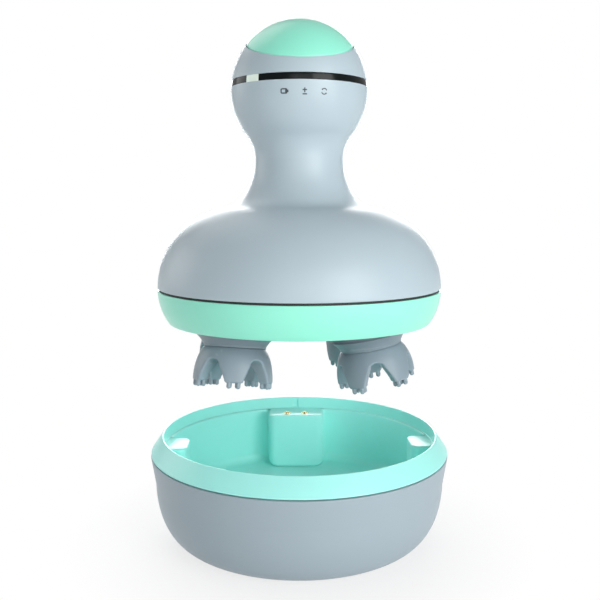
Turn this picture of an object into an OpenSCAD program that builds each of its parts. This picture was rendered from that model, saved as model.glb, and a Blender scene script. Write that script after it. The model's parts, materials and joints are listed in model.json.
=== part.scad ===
// Electric scalp massager lifted off its charging cradle.
// Millimetres. +Z is up and the front is -Y. The origin is the middle of the cradle's underside.
// The massager's pieces are drawn from the bottom edge of its own ring and then lifted.

/* [Massager body] */
// Radius of the bell at its widest
bell_r = 53.1; // [48:0.1:58]
// Height of the widest circle above the bottom edge
bell_z = 12.3; // [11.5:0.1:14]
// Radius of the bell's shoulder, seen from the side
bell_round = 30.5; // [27:0.5:32]
// Radius of the blend where the shoulder meets the neck's flare
root_round = 10; // [9:0.5:12]
// Radius of the flare below the neck
flare_round = 21; // [19:0.5:22]
// Radius of the neck at its narrowest
neck_r = 16.5; // [15.5:0.1:18]
// Depth by which the flare's circle laps over the shoulder's circle
neck_lap = 2.2; // [1.5:0.1:3]
// Length of the narrow stretch
neck_flat = 1; // [0.5:0.1:1.5]
// Radius of the grip ball
ball_r = 25.3; // [24.5:0.1:27]
// Height of the ball's centre above the neck
throat_h = 24.7; // [24:0.1:27]
// Wall of the moulded shells
wall = 2.2; // [1.8:0.1:2.5]

/* [Base ring] */
// Radius of the ring's side, seen from the side
ring_round = 21.5; // [19:0.5:24]
// Height of the dark joint between ring and bell
seam_h = 0.8; // [0.5:0.1:1.2]
// Depth of that joint's gasket behind the surface
seam_depth = 0.6; // [0.3:0.1:1]
// Wall of the ring beside the gears
ring_wall = 2; // [1.6:0.1:2.4]
// Width of the ring's bottom flange
flange_w = 1.834; // [1.5:0.002:2.3]
// Thickness of the ring's bottom flange
flange_t = 3; // [2.4:0.1:3.2]
// Radius of the ring's bottom edge
ring_edge = 0.6; // [0.3:0.1:1]

/* [Indicator band] */
// Height of the band's middle above the ball's centre
band_up = 1.9; // [1.5:0.1:2.2]
// Height of the band
band_h = 2.4; // [2:0.1:3]
// Depth of the band behind the ball's surface
band_inset = 0.15; // [0.05:0.05:0.4]
// Direction of the lit window, from the front towards the right
lens_az = -42.5; // [-60:0.5:-30]
// Width of the lit window as an angle
lens_angle = 13.2; // [10:0.2:20]
// Length of the window's light guide inwards
lens_depth = 3.8; // [3:0.1:4.5]

/* [Power button] */
// Lean of the button's axis towards the front
button_tilt = 21; // [15:0.5:24]
// Width of the ball's surface between the button and the band, at the front
button_margin = 5.484; // [4.5:0.006:7.5]
// Gap round the button
button_gap = 0.25; // [0.15:0.05:0.4]
// Thickness of the button's cap and skirt
button_t = 1.6; // [1.2:0.1:2]
// Length that the skirt reaches inwards from the rim
skirt_h = 2.2; // [1.6:0.1:2.6]
// Travel of the button
button_travel = 0.8; // [0.4:0.1:1]
// Wall of the sleeve that guides the button
sleeve_t = 1.25; // [1:0.05:1.4]

/* [Massage heads] */
// Lean of each head on its cranked shaft
head_tilt = 11.5; // [6:0.5:12]
// Height of the pivot, where the crank starts
pivot_z = 1.5; // [1.2:0.1:2.6]
// Radius of the collar's ball zone
collar_r = 13.4; // [13:0.1:13.7]
// Distance from the pivot to the joint between collar and claw
collar_drop = 8; // [7:0.1:8.5]
// Radius of the claw at that joint
joint_r = 10.7; // [10:0.1:11.5]
// Length of the claw from the joint to the finger tips
claw_len = 12; // [11:0.1:13]
// Radius of the claw at the finger tips
tip_r = 14; // [13:0.1:14.3]
// Number of fingers on each claw
finger_count = 5; // [4:1:6]
// Turn of a claw's fingers from the direction of its lean
finger_turn = 24; // [0:1:72]
// Width of a finger at its tip
finger_w = 6.4; // [5.5:0.1:7]
// Thickness of a finger at its tip
finger_t = 3.8; // [3.4:0.1:4.2]
// Height of the closed crown above the arches
crown_h = 4.2; // [3.6:0.1:5]
// Radius of the arch between two fingers
arch_r = 2.5; // [2:0.1:3]
// Thickness of the claw's roof
roof_t = 3; // [2.6:0.1:3.6]
// Radius of a nub
nub_r = 0.8; // [0.6:0.05:0.8]
// Length of a nub
nub_len = 1.9; // [1.2:0.1:2.2]
// Distance between the two columns of nubs on a tip
nub_gap = 2.9; // [2.4:0.1:3.4]

/* [Gear train] */
// Teeth on the middle gear
sun_teeth = 37; // [36:1:37]
// Teeth on each head's gear
head_teeth = 28; // [27:1:28]
// Face width of the gears
gear_face = 5; // [4:0.1:5.4]
// Play between meshing teeth
backlash = 0.2; // [0.1:0.05:0.3]
// Radius of the head shafts
shaft_r = 2; // [1.8:0.1:2.3]
// Radial play of a turning shaft
shaft_play = 0.04; // [0.02:0.01:0.08]
// Wall of a bush
bush_wall = 1.5; // [1.2:0.1:2]
// Thickness of the two gear plates
plate_t = 2.2; // [1.8:0.1:2.4]
// Width of the two gear plates outside the bushes
plate_rim = 1.56; // [1.2:0.02:1.8]
// Thickness of the bottom cover
cover_t = 2; // [1.6:0.1:2.4]

/* [Motor and battery] */
// Radius of the gearbox
gearbox_r = 13; // [11:0.5:15]
// Length of the gearbox
gearbox_len = 10; // [8:0.5:11]
// Radius of the motor
motor_r = 12; // [10:0.5:13]
// Length of the motor
motor_len = 14; // [12:0.5:15]
// Radius of the gearbox's output shaft
output_r = 2.5; // [2:0.1:3]
// Radius of the battery cell
cell_r = 9.15; // [8:0.05:9.4]
// Length of the battery cell
cell_len = 35; // [33:0.5:36]
// Wall of the battery's holder
holder_t = 1.6; // [1.2:0.1:1.8]
// Height of the battery's holder
holder_h = 21; // [18:0.5:24]

/* [Boards] */
// Thickness of the circuit boards
board_t = 1.6; // [1:0.1:1.6]
// Gap between the control board and the ball's wall
board_gap = 2.04; // [1.6:0.02:3]
// Width of the push switch
switch_w = 6; // [5:0.1:7]
// Height of the push switch
switch_h = 2.4; // [2:0.1:2.8]

/* [Cradle] */
// Height of the rim
rim_z = 40; // [38:0.5:43]
// Width of the rim from the recess to the outside
rim_w = 4.9; // [4.5:0.1:6]
// Height of the rim's slope
rim_slope = 6; // [5:0.1:7]
// Taper of the outer wall, in degrees
cradle_taper = 9.3; // [5:0.1:9.5]
// Height of the rounded foot of the outer wall
foot_h = 22; // [18:0.5:24]
// Width of the rounded foot of the outer wall
foot_w = 11.7; // [10:0.1:13]
// Wall of the outer shell
cradle_wall = 1.9; // [1.6:0.1:2]
// Wall of the inner bowl
bowl_wall = 1.4; // [1.2:0.1:1.6]
// Radius of the bowl's inner corner
bowl_round = 3.4; // [3:0.1:4]
// Depth to which the ring sits in the rim
dock_depth = 4.8; // [4:0.1:5]
// Gap round the ring when it is docked
dock_gap = 0.25; // [0.2:0.05:0.5]
// Height of the massager above its docked place
lift = 48.5; // [48:0.5:60]

/* [Supports and contacts] */
// Width of the back support, which carries the contacts
block_w = 24; // [22:0.5:25]
// Width of the front support
front_w = 16; // [12:0.5:18]
// Width of the side supports
side_w = 15; // [10:0.5:16]
// Reach of the side supports from the wall
side_reach = 8; // [5:0.1:9]
// Radius of the supports' upright corners
block_round = 3; // [2:0.1:4]
// Distance between the two contacts
contact_gap = 7.8; // [7:0.1:9]
// Distance of the contacts behind the back support's face
contact_inset = 3.57; // [3.5:0.01:4]
// Radius of a contact sleeve
sleeve_r = 1.7; // [1.5:0.1:2]
// Radius of a contact pin
pin_r = 0.9; // [0.7:0.05:1]
// Travel of a contact pin
pin_travel = 0.8; // [0.4:0.1:0.9]
// Height that a pressed contact pin still stands out
pin_stay = 0.1; // [0.05:0.05:0.15]

/* [Cradle base] */
// Height of the shell's underside on its feet
foot_gap = 0.6; // [0.4:0.1:1]
// Radius of a rubber foot
pad_r = 5; // [4:0.1:6]
// Width of the flat underside outside the feet
pad_inset = 1.48; // [1:0.02:4]
// Width of the charging socket
socket_w = 9; // [8.6:0.1:9.6]
// Height of the charging socket
socket_h = 3.3; // [3:0.1:3.6]
// Length of the charging socket
socket_len = 9; // [8:0.1:10]
// Width of the charging board
charge_w = 24; // [22:0.5:26]
// Length of the charging board
charge_len = 20; // [18:0.5:22]

/* [Hidden] */
$fn = 96;

grey = [0.66, 0.72, 0.76];
pale_grey = [0.72, 0.78, 0.82];
teal = [0.55, 0.95, 0.88];
slate = [0.45, 0.53, 0.58];
black = [0.05, 0.07, 0.07];
steel = [0.7, 0.72, 0.74];
brass = [0.85, 0.68, 0.35];
board_green = [0.1, 0.4, 0.25];

fit = 0.02;         // play between pieces that are fixed together
slip = 0.2;         // gap between a moulding and what it slips over
over = 1;           // what a cutter runs past the face that it cuts
step = 5;           // degrees between two points of a drawn arc
fine = 48;          // facets of a small round
post_r = 3;         // radius of the screw posts
screw_r = 1.25;     // radius of a screw's shank
screw_head_r = 2.3; // radius of a screw's head
screw_head_h = 1.4; // height of a screw's head
screw_point = 0.6;  // length of a screw's point
grip = 4;           // length of a thread in its post

// --- curves ---

// Points of an arc about c from angle a to angle b
function arc(c, r, a, b) =
    let (n = max(2, ceil(abs(b - a) / step)))
    [for (i = [0:n]) c + r * [cos(a + (b - a) * i / n), sin(a + (b - a) * i / n)]];

// Points of an upright ellipse's quarter arc about c from angle a to angle b
function oval(c, rx, ry, a, b) =
    let (n = max(2, ceil(abs(b - a) / step)))
    [for (i = [0:n]) c + [rx * cos(a + (b - a) * i / n), ry * sin(a + (b - a) * i / n)]];

// The crossing of two circles that lies to the left of the way from p to q
function crossing(p, rp, q, rq) =
    let (d = norm(q - p), u = (q - p) / d, a = (rp * rp - rq * rq + d * d) / (2 * d))
    p + a * u + sqrt(rp * rp - a * a) * [-u[1], u[0]];

function heading(from, to) = atan2(to[1] - from[1], to[0] - from[0]);

// --- outline of the massager ---

seam_z = bell_z - 0.3;                           // top of the teal ring
housing_z = seam_z + seam_h;                     // bottom edge of the bell
bell_c = [bell_r - bell_round, bell_z];          // centre of the shoulder's arc
flare_x = neck_r + flare_round;
// Height at which the flare ends and the narrow stretch starts
neck_z = bell_z + sqrt(pow(bell_round + flare_round - neck_lap, 2) - pow(flare_x - bell_c[0], 2));
flare_c = [flare_x, neck_z];                     // centre of the flare's arc
root_c = crossing(bell_c, bell_round + root_round, flare_c, flare_round - root_round);
neck_top = neck_z + neck_flat;
ball_z = neck_top + throat_h;
// The curve from the neck to the ball touches the neck and the ball
throat_round = (pow(neck_r, 2) + pow(throat_h, 2) - pow(ball_r, 2)) / (2 * (ball_r - neck_r));
throat_c = [neck_r + throat_round, neck_top];
ball_c = [0, ball_z];
band_low = ball_z + band_up - band_h / 2;
band_top = band_low + band_h;

// Side line of the bell, neck and ball up to height top, moved inwards by inset
function side_line(inset, low, top) = concat(
    arc(bell_c, bell_round - inset, asin((low - bell_z) / (bell_round - inset)), heading(bell_c, root_c)),
    arc(root_c, root_round + inset, heading(root_c, bell_c), heading(root_c, flare_c) - 180),
    arc(flare_c, flare_round + inset, heading(flare_c, root_c) + 360, 180),
    arc(throat_c, throat_round + inset, 180, heading(throat_c, ball_c)),
    arc(ball_c, ball_r - inset, heading(ball_c, throat_c), asin((top - ball_z) / (ball_r - inset))));

ring_c = [bell_r - ring_round, bell_z];
// Radius of the ring's side at height z
function ring_side(z) = ring_c[0] + sqrt(ring_round * ring_round - pow(bell_z - z, 2));

spigot_r = bell_r - seam_depth - wall;           // outside of the bell's spigot in the ring
spigot_in = spigot_r - 1.8;
spigot_z = 7.3;                                  // bottom of the spigot
spigot_up = 2;                                   // height of the spigot's wall inside the bell
ring_in = ring_side(flange_t) - ring_wall;
ring_bevel = 0.8;                                // slope in the ring's inside, under the spigot
flange_r = ring_side(0) - flange_w;              // inner radius of the ring's flange

// --- levels inside the massager ---

cover_z = 1;                                     // underside of the bottom cover
cover_lip = 1.2;                                 // rim of the bottom cover that lies on the flange
cover_top = flange_t + cover_lip;
plate_z = cover_z + cover_t;                     // inside of the bottom cover
tray_z = 8;                                      // underside of the lower gear plate
gear_play = 0.7;                                 // gap below the gears
gear_z = tray_z + plate_t + gear_play;
gear_top = gear_z + gear_face;
head_hub = 1;                                    // hub above a head's gear
hub_play = 0.5;                                  // gap above that hub
hub_wall = 2.2;
lid_z = gear_top + head_hub + hub_play;          // underside of the upper gear plate
lid_top = lid_z + plate_t;
gearbox_top = lid_top + gearbox_len;
motor_top = gearbox_top + motor_len;
holder_z = motor_top;
cell_z = holder_z + holder_t;
board_drop = 0.7;                                // from the band down to the control board
board_z = band_low - board_drop - board_t;
board_top = board_z + board_t;
board_r = sqrt(pow(ball_r - wall, 2) - pow(ball_z - board_z, 2)) - board_gap;
board_inset = 4;                                 // from the control board's edge to its screws
board_place = board_r - board_inset;
board_post_r = 2.4;

// --- heads ---

hole_play = 0.3;                                 // gap round a collar in the bottom cover
plate_hole = collar_r + hole_play;               // hole for a collar in the bottom cover
cover_rim = 1.2;                                 // rim of the bottom cover outside those holes
gear_tip = 0.95;                                 // height of a tooth above the pitch circle, in modules
gear_gap = 1;                                    // least gap between a head's gear and the bell's spigot
// Distance of the head axes from the middle, as far out as the cover and the gears allow
head_r = min(flange_r - cover_rim - plate_hole,
    (spigot_in - gear_gap) / (1 + (head_teeth + 2 * gear_tip) / (sun_teeth + head_teeth)));
gear_module = 2 * head_r / (sun_teeth + head_teeth);
bush_r = shaft_r + shaft_play + bush_wall;
plate_r = head_r + bush_r + plate_rim;           // radius of the gear plates
head_dirs = [45, 135, 225, 315];                 // from +X, seen from above
head_leans = [136, -116, -20, 82];               // lean of each head, from the front to the right
stub_len = collar_drop + roof_t - 0.4;
joint_z = -collar_drop;                          // heights in a head count from its pivot
tip_z = joint_z - claw_len;
nub_z = tip_z - nub_len;
nub_ring = tip_r - finger_t / 2;                 // middle of a finger tip
nub_edge = 0.15;                                 // from a nub to the edge of its tip
nub_root = 0.5;                                  // depth of a nub's root in the tip
finger_edge = 0.8;                               // chamfer of a finger tip's sides
finger_flare = 0.9;                              // how much a finger widens towards its arches
crown_lap = 0.3;                                 // how far the crown's edge hangs below the arches
nub_rows = finger_t - 2 * nub_r - 2 * nub_edge;  // distance between the rows of nubs
// The collar: its ball zone, wall and hub, and the lip round the joint
zone_up = 2.5;
zone_down = 2.6;
collar_wall = 1.4;
hub_r = 4.3;
hub_top = 2.8;
lip_h = 1.6;
lip_w = 1.2;
lip_in = 0.6;
lip_step = 0.35;
lip_foot = 0.3;
// Lowest and widest reach of a head as it turns
claw_low = pivot_z + nub_z * cos(head_tilt) - tip_r * sin(head_tilt);
claw_reach = tip_r * cos(head_tilt) - tip_z * sin(head_tilt);

// --- button ---

// Angle between the button's axis and the edge of its hole in the ball
hole_angle = 90 - asin((band_top - ball_z) / ball_r) - button_tilt - button_margin / ball_r * 180 / PI;
sleeve_in = ball_r * sin(hole_angle);
sleeve_out = sleeve_in + sleeve_t;
button_r = sleeve_in - button_gap;
rim_d = sqrt(ball_r * ball_r - button_r * button_r); // from the ball's centre to the cap's rim
skirt_d = rim_d - skirt_h;
button_post_r = 2.5;
sleeve_lip = 0.9;                                // width and height of the sleeve's inner lip
skirt_gap = 1.8;                                 // from the pressed button to its switch board
switch_board_d = skirt_d - button_travel - skirt_gap - board_t;
switch_d = switch_board_d + board_t;
plunger_r = 1.7;
plunger_d = switch_d + switch_h;                 // top of the switch
plunger_play = 0.2;                              // what a pressed plunger leaves below it
plunger_in = 1;                                  // length of the plunger in its switch
plunger_up = button_travel + plunger_play;
post_d = plunger_d + plunger_up;                 // where the cap's post meets the plunger

// --- cradle ---

dock_z = rim_z - dock_depth;                     // top of the supports
lift_z = dock_z + lift;                          // bottom edge of the lifted massager
reach_gap = 0.8;                                 // gap between a turning claw and the bowl
floor_gap = 0.5;                                 // gap between a docked claw and the floor
bowl_r = head_r + claw_reach + reach_gap;
ledge_w = 0.8;                                   // least width of the ledge under the ring
recess_r = max(ring_side(dock_depth) + dock_gap, bowl_r + ledge_w);
ridge_w = 0.5;                                   // width of the rim's crest
ridge_edge = 0.3;                                // bevel inside the crest
cradle_r = recess_r + rim_w;
floor_z = dock_z + claw_low - floor_gap;
rim_edge = 0.4;                                  // upright edge below the rim's slope
rim_inset = 0.2;                                 // from the shell's outside to the rim's
flange_low = rim_z - rim_slope - rim_edge;       // underside of the bowl's rim
rim_joint = 0.5;                                 // the dark joint under the rim is left open
shell_top = flange_low - rim_joint;
shell_c = [cradle_r - (shell_top - foot_h - foot_gap) * tan(cradle_taper) - foot_w, foot_h + foot_gap];
shell_floor = foot_gap + cradle_wall;
liner_bottom = floor_z - bowl_wall;
shell_fit = 0.15;                                // the bowl's rim fits inside the shell's wall
spigot_out = cradle_r - cradle_wall - shell_fit;
spigot_h = 4.5;
spigot_low = dock_z - spigot_h;
head_y = head_r * sin(45);
// Face of a support that keeps clear of the heads on both its sides
function block_face(w) =
    head_y + sqrt(max(0, pow(claw_reach + reach_gap, 2) - pow(head_y - w / 2, 2))) + block_gap;
block_gap = 0.6;                                 // what a support keeps clear beyond that
block_y = block_face(block_w);
front_reach = 11;                                // the most that the front support stands in
front_y = max(block_face(front_w), bowl_r - front_reach);
contact_y = block_y + contact_inset;
pad_x = (shell_c[0] - pad_inset - pad_r) * cos(45);
cradle_post_r = 3.5;

// --- shared shapes ---

// Moves a piece of the massager from its own frame to its place above the cradle
module lifted() translate([0, 0, lift_z]) children();

// Moves a piece to head i, upright and turned like its gear
module at_head(i) lifted() rotate([0, 0, head_dirs[i]]) translate([head_r, 0, 0]) children();

// Moves a piece to the leaning axis of head i, with its origin at the pivot
module at_claw(i)
    lifted() translate([head_r * cos(head_dirs[i]), head_r * sin(head_dirs[i]), pivot_z])
        rotate([0, 0, head_leans[i]]) rotate([-head_tilt, 0, 0]) children();

// Moves a piece to the button's axis, with its origin at the ball's centre
module at_button() lifted() translate([0, 0, ball_z]) rotate([button_tilt, 0, 0]) children();

module tube(r_out, r_in, h) difference() {
    cylinder(r = r_out, h = h);
    translate([0, 0, -over]) cylinder(r = r_in, h = h + 2 * over);
}

// A screw that points up, with the underside of its head at height z
module screw_up(z, len) rotate_extrude($fn = fine) polygon([[0, z - screw_head_h],
    [screw_head_r - 0.4, z - screw_head_h], [screw_head_r, z - screw_head_h + 0.4],
    [screw_head_r, z], [screw_r, z], [screw_r, z + len - screw_point], [screw_r / 2, z + len],
    [0, z + len]]);

pressure = 20; // pressure angle of the gears

// Spur gear with involute flanks and a tooth centred on the X axis
module gear_shape(teeth) {
    pitch = gear_module * teeth / 2;
    base = pitch * cos(pressure);
    root = pitch - 1.25 * gear_module;
    tip = pitch + gear_tip * gear_module;
    half_pitch = 180 / teeth;
    function involute(a) = tan(a) * 180 / PI - a;
    function half(r) = half_pitch / 2 - backlash / 2 / pitch * 180 / PI
        + involute(pressure) - involute(acos(min(1, base / max(r, base))));
    radii = [root, max(root, base), pitch, (pitch + tip) / 2, tip];
    count = len(radii);
    polygon([for (k = [0:teeth - 1], s = [0:2 * count - 1])
        let (right = s < count, r = radii[right ? s : 2 * count - 1 - s],
            a = k * 360 / teeth + (right ? -half(r) : half(r)))
        r * [cos(a), sin(a)]]);
}

// Turn of head i's gear about its own axis that meshes it with the middle gear
function mesh_turn(i) =
    let (pitch = 360 / sun_teeth, way = head_dirs[i] - head_dirs[0], turn = way - pitch * floor(way / pitch))
    180 + 180 / head_teeth + turn * sun_teeth / head_teeth;

// Plan of a support with rounded inner corners, its face at y and its back in the wall
module support_plan(w, y, round, back) {
    translate([-w / 2, y + round]) square([w, back - y - round]);
    translate([-w / 2 + round, y]) square([w - 2 * round, round + over]);
    for (side = [-1, 1]) translate([side * (w / 2 - round), y + round]) circle(r = round, $fn = fine);
}

module at_board_screws()
    for (k = [0:2]) rotate([0, 0, 90 + 120 * k]) translate([board_place, 0, 0]) children();

module four_ways(start) for (k = [0:3]) rotate([0, 0, start + 90 * k]) children();

function reversed(list) = [for (i = [len(list) - 1:-1:0]) list[i]];

// --- massager: shells ---

post_gap = 0.6;      // from a screw post to the edge of a gear plate
boss_place = plate_r + post_gap + post_r;   // screw posts of the bell, from the axis
boss_turn = 16;      // their angle from the X axis
boss_hole = 10;      // depth of the holes in those posts
boss_free = 1.8;     // what a screw leaves free of it
frame_place = plate_r - post_gap - post_r;  // screws that hold the gear frame, from the axis

module main_housing() color(grey) lifted() difference() {
    union() {
        rotate_extrude() polygon(concat(
            [[spigot_in, spigot_z], [spigot_r, spigot_z], [spigot_r, housing_z]],
            side_line(0, housing_z, band_low),
            reversed(side_line(wall, housing_z + 2 * spigot_up, band_low)),
            [[spigot_in, housing_z + spigot_up]]));
        four_ways(boss_turn) intersection() {
            translate([boss_place, 0, cover_top]) cylinder(r = post_r, h = bell_z + bell_round, $fn = fine);
            union() {
                cylinder(r = (spigot_r + spigot_in) / 2, h = housing_z + spigot_up);
                rotate_extrude() polygon(concat([[0, housing_z]],
                    side_line(wall / 2, housing_z, band_low), [[0, band_low]]));
            }
        }
        at_board_screws() intersection() {
            translate([0, 0, ball_z - ball_r])
                cylinder(r = board_post_r, h = board_z - ball_z + ball_r, $fn = fine);
            translate([-board_place, 0, ball_z]) sphere(r = ball_r - wall / 2);
        }
    }
    four_ways(boss_turn) translate([boss_place, 0, cover_top - over])
        cylinder(r = screw_r + fit, h = boss_hole + over, $fn = fine);
    at_board_screws() translate([0, 0, board_z - grip])
        cylinder(r = screw_r + fit, h = grip + over, $fn = fine);
}

// Everything above height z
module above(z) translate([0, 0, z + ball_r]) cube([4 * ball_r, 4 * ball_r, 2 * ball_r], center = true);

module ball_cover() color(grey) {
    difference() {
        union() {
            lifted() intersection() {
                translate([0, 0, ball_z]) difference() {
                    sphere(r = ball_r);
                    sphere(r = ball_r - wall);
                }
                above(band_top);
            }
            difference() {
                at_button() intersection() {
                    translate([0, 0, switch_board_d - sleeve_lip]) cylinder(r = sleeve_out, h = ball_r);
                    sphere(r = ball_r - wall / 2);
                }
                lifted() translate([0, 0, band_low - over])
                    tube(ball_r + over, ball_r - wall - band_lap - slip, band_h + over);
            }
        }
        at_button() translate([0, 0, switch_board_d]) cylinder(r = sleeve_in, h = ball_r);
        at_button() translate([0, 0, switch_board_d - over - sleeve_lip])
            cylinder(r = sleeve_in - sleeve_lip, h = ball_r);
    }
}

// The wedge of the band that the lit window fills, made smaller all round by gap
module lens_wedge(gap) rotate([0, 0, lens_az - 90]) translate([0, 0, band_low - over])
    linear_extrude(height = band_h + 2 * over) polygon([[gap, 0],
        [2 * ball_r, -2 * ball_r * tan(lens_angle / 2) + gap],
        [2 * ball_r, 2 * ball_r * tan(lens_angle / 2) - gap]]);

// The band's full round, from inner radius r to just behind the ball's surface
module band_round(r) rotate_extrude() polygon([[r, band_low],
    [sqrt(pow(ball_r, 2) - pow(band_low - ball_z, 2)) - band_inset, band_low],
    [sqrt(pow(ball_r, 2) - pow(band_top - ball_z, 2)) - band_inset, band_top], [r, band_top]]);

band_lap = 0.2;      // what the band stands in behind the shells

module indicator_ring() color(black) lifted() difference() {
    band_round(ball_r - wall - band_lap);
    lens_wedge(0);
}

module status_lens() color("white") lifted() intersection() {
    band_round(ball_r - lens_depth);
    lens_wedge(fit);
}

module power_button() color(teal) at_button() {
    difference() {
        intersection() {
            translate([0, 0, skirt_d]) cylinder(r = button_r, h = ball_r);
            sphere(r = ball_r);
        }
        intersection() {
            cylinder(r = button_r - button_t, h = ball_r);
            sphere(r = ball_r - button_t);
        }
    }
    translate([0, 0, post_d]) cylinder(r = button_post_r, h = ball_r - button_t / 2 - post_d, $fn = fine);
}

module switch_plunger() color(black) at_button() translate([0, 0, plunger_d - plunger_in])
    cylinder(r = plunger_r, h = plunger_up + plunger_in, $fn = fine);

module tact_switch() color(steel) at_button() difference() {
    translate([-switch_w / 2, -switch_w / 2, switch_d]) cube([switch_w, switch_w, switch_h]);
    translate([0, 0, plunger_d - plunger_in - plunger_up])
        cylinder(r = plunger_r + shaft_play, h = switch_h + over, $fn = fine);
}

module switch_board() color(board_green) at_button() translate([0, 0, switch_board_d])
    cylinder(r = sleeve_in - fit, h = board_t);

module control_board() color(board_green) lifted() translate([0, 0, board_z]) difference() {
    cylinder(r = board_r, h = board_t);
    at_board_screws() translate([0, 0, -over])
        cylinder(r = screw_r + slip, h = board_t + 2 * over, $fn = fine);
}

led_size = [1.6, 3.2, 2.2];
led_inset = 1;       // from the control board's edge to the lamp
thread_end = 0.4;    // what a screw leaves free at the end of its hole

module status_led() color("white") lifted() rotate([0, 0, lens_az - 90])
    translate([board_r - led_inset - led_size[0], -led_size[1] / 2, board_top]) cube(led_size);

module board_screws() color(steel) lifted() at_board_screws() translate([0, 0, board_top])
    mirror([0, 0, 1]) screw_up(0, board_t + grip - thread_end);

// --- massager: battery and motor ---

cell_edge = 0.5;
cap_r = 3;           // the cell's raised end
cap_h = 1;

module battery() color("royalblue") lifted() translate([0, 0, cell_z])
    rotate_extrude() polygon([[0, 0], [cell_r - cell_edge, 0], [cell_r, cell_edge],
        [cell_r, cell_len - cap_h - cell_edge], [cell_r - cell_edge, cell_len - cap_h],
        [cap_r, cell_len - cap_h], [cap_r, cell_len], [0, cell_len]]);

cell_play = 0.15;
holder_in = cell_r + cell_play;
holder_out = holder_in + holder_t;
rib_t = 1.6;         // the holder's ribs, which centre it in the neck
rib_h = 5;
rib_root = 0.5;

module battery_holder() color(black) lifted() {
    difference() {
        translate([0, 0, holder_z]) cylinder(r = holder_out, h = holder_h);
        translate([0, 0, cell_z]) cylinder(r = holder_in, h = holder_h);
    }
    four_ways(45) translate([holder_out - rib_root, -rib_t / 2, (neck_z + neck_top - rib_h) / 2])
        cube([neck_r - wall - slip - holder_out + rib_root, rib_t, rib_h]);
}

module motor() color(steel) lifted() translate([0, 0, gearbox_top]) rotate_extrude() polygon([[0, 0],
    [motor_r, 0], [motor_r, motor_len - motor_edge], [motor_r - motor_edge, motor_len], [0, motor_len]]);

motor_edge = 1;
motor_screw_inset = 4.5;                            // from the gearbox's side to its screws
motor_screw_place = gearbox_r - motor_screw_inset;
output_in = 4.5;                                    // length of the output shaft in the gearbox
output_end = 0.5;                                   // what it leaves free at the end of its hole

module gearbox() color(steel) lifted() translate([0, 0, lid_top]) difference() {
    cylinder(r = gearbox_r, h = gearbox_len);
    translate([0, 0, -over])
        cylinder(r = output_r + shaft_play, h = output_in + output_end + over, $fn = fine);
    for (side = [-1, 1]) translate([side * motor_screw_place, 0, -over])
        cylinder(r = screw_r + fit, h = grip + over, $fn = fine);
}

module output_shaft() color(steel) lifted() translate([0, 0, gear_z])
    cylinder(r = output_r, h = lid_top + output_in - gear_z, $fn = fine);

module motor_screws() color(steel) lifted() for (side = [-1, 1])
    translate([side * motor_screw_place, 0, 0]) screw_up(lid_z, plate_t + grip - thread_end);

// --- massager: gear train ---

module sun_gear() color("ivory") lifted() translate([0, 0, gear_z]) difference() {
    rotate([0, 0, head_dirs[0]]) linear_extrude(height = gear_face) gear_shape(sun_teeth);
    translate([0, 0, -over]) cylinder(r = output_r + fit, h = gear_face + 2 * over, $fn = fine);
}

module head_gear(i) color("ivory") at_head(i) difference() {
    union() {
        translate([0, 0, gear_z]) rotate([0, 0, mesh_turn(i)])
            linear_extrude(height = gear_face) gear_shape(head_teeth);
        translate([0, 0, gear_top - fit]) cylinder(r = shaft_r + hub_wall, h = head_hub + fit, $fn = fine);
    }
    translate([0, 0, gear_z - over])
        cylinder(r = shaft_r + fit, h = gear_face + head_hub + 2 * over, $fn = fine);
}

// The crank: an upright shaft, a ball at the pivot and a leaning stub
module head_shaft(i) color(steel) {
    at_head(i) translate([0, 0, pivot_z]) cylinder(r = shaft_r, h = lid_top - pivot_z, $fn = fine);
    at_claw(i) sphere(r = knee_r, $fn = fine);
    at_claw(i) translate([0, 0, -stub_len]) cylinder(r = shaft_r, h = stub_len, $fn = fine);
}

knee_r = shaft_r + 0.6;                             // ball where the crank starts

module gear_tray() color(slate) lifted() difference() {
    union() {
        translate([0, 0, tray_z]) cylinder(r = plate_r, h = plate_t);
        four_ways(0) translate([frame_place, 0, plate_z])
            cylinder(r = post_r, h = tray_z - plate_z + fit, $fn = fine);
    }
    for (a = head_dirs) rotate([0, 0, a]) translate([head_r, 0, tray_z - over])
        cylinder(r = bush_r + fit, h = plate_t + 2 * over, $fn = fine);
    four_ways(0) translate([frame_place, 0, cover_z])
        cylinder(r = screw_r + slip, h = tray_z + plate_t, $fn = fine);
}

module gear_cover() color(slate) lifted() difference() {
    union() {
        translate([0, 0, lid_z]) cylinder(r = plate_r, h = plate_t);
        four_ways(0) translate([frame_place, 0, tray_z + plate_t])
            cylinder(r = post_r, h = lid_z - tray_z - plate_t + fit, $fn = fine);
    }
    for (a = head_dirs) rotate([0, 0, a]) translate([head_r, 0, lid_z - over])
        cylinder(r = bush_r + fit, h = plate_t + 2 * over, $fn = fine);
    translate([0, 0, lid_z - over])
        cylinder(r = output_r + output_play, h = plate_t + 2 * over, $fn = fine);
    for (side = [-1, 1]) translate([side * motor_screw_place, 0, lid_z - over])
        cylinder(r = screw_r + slip, h = plate_t + 2 * over, $fn = fine);
    four_ways(0) translate([frame_place, 0, tray_z])
        cylinder(r = screw_r + fit, h = plate_t + grip, $fn = fine);
}

output_play = 0.5;                                  // gap round the output shaft in the upper plate
seal_t = 0.8;
seal_play = 0.08;
seal_rim = 2;

module shaft_bushes() color(brass) lifted() for (a = head_dirs, z = [tray_z, lid_z])
    rotate([0, 0, a]) translate([head_r, 0, z]) tube(bush_r, shaft_r + shaft_play, plate_t, $fn = fine);

module shaft_seals() color(black) lifted() for (a = head_dirs) rotate([0, 0, a])
    translate([head_r, 0, tray_z - seal_t]) tube(bush_r + seal_rim, shaft_r + seal_play, seal_t, $fn = fine);

// --- massager: base ---

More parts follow.
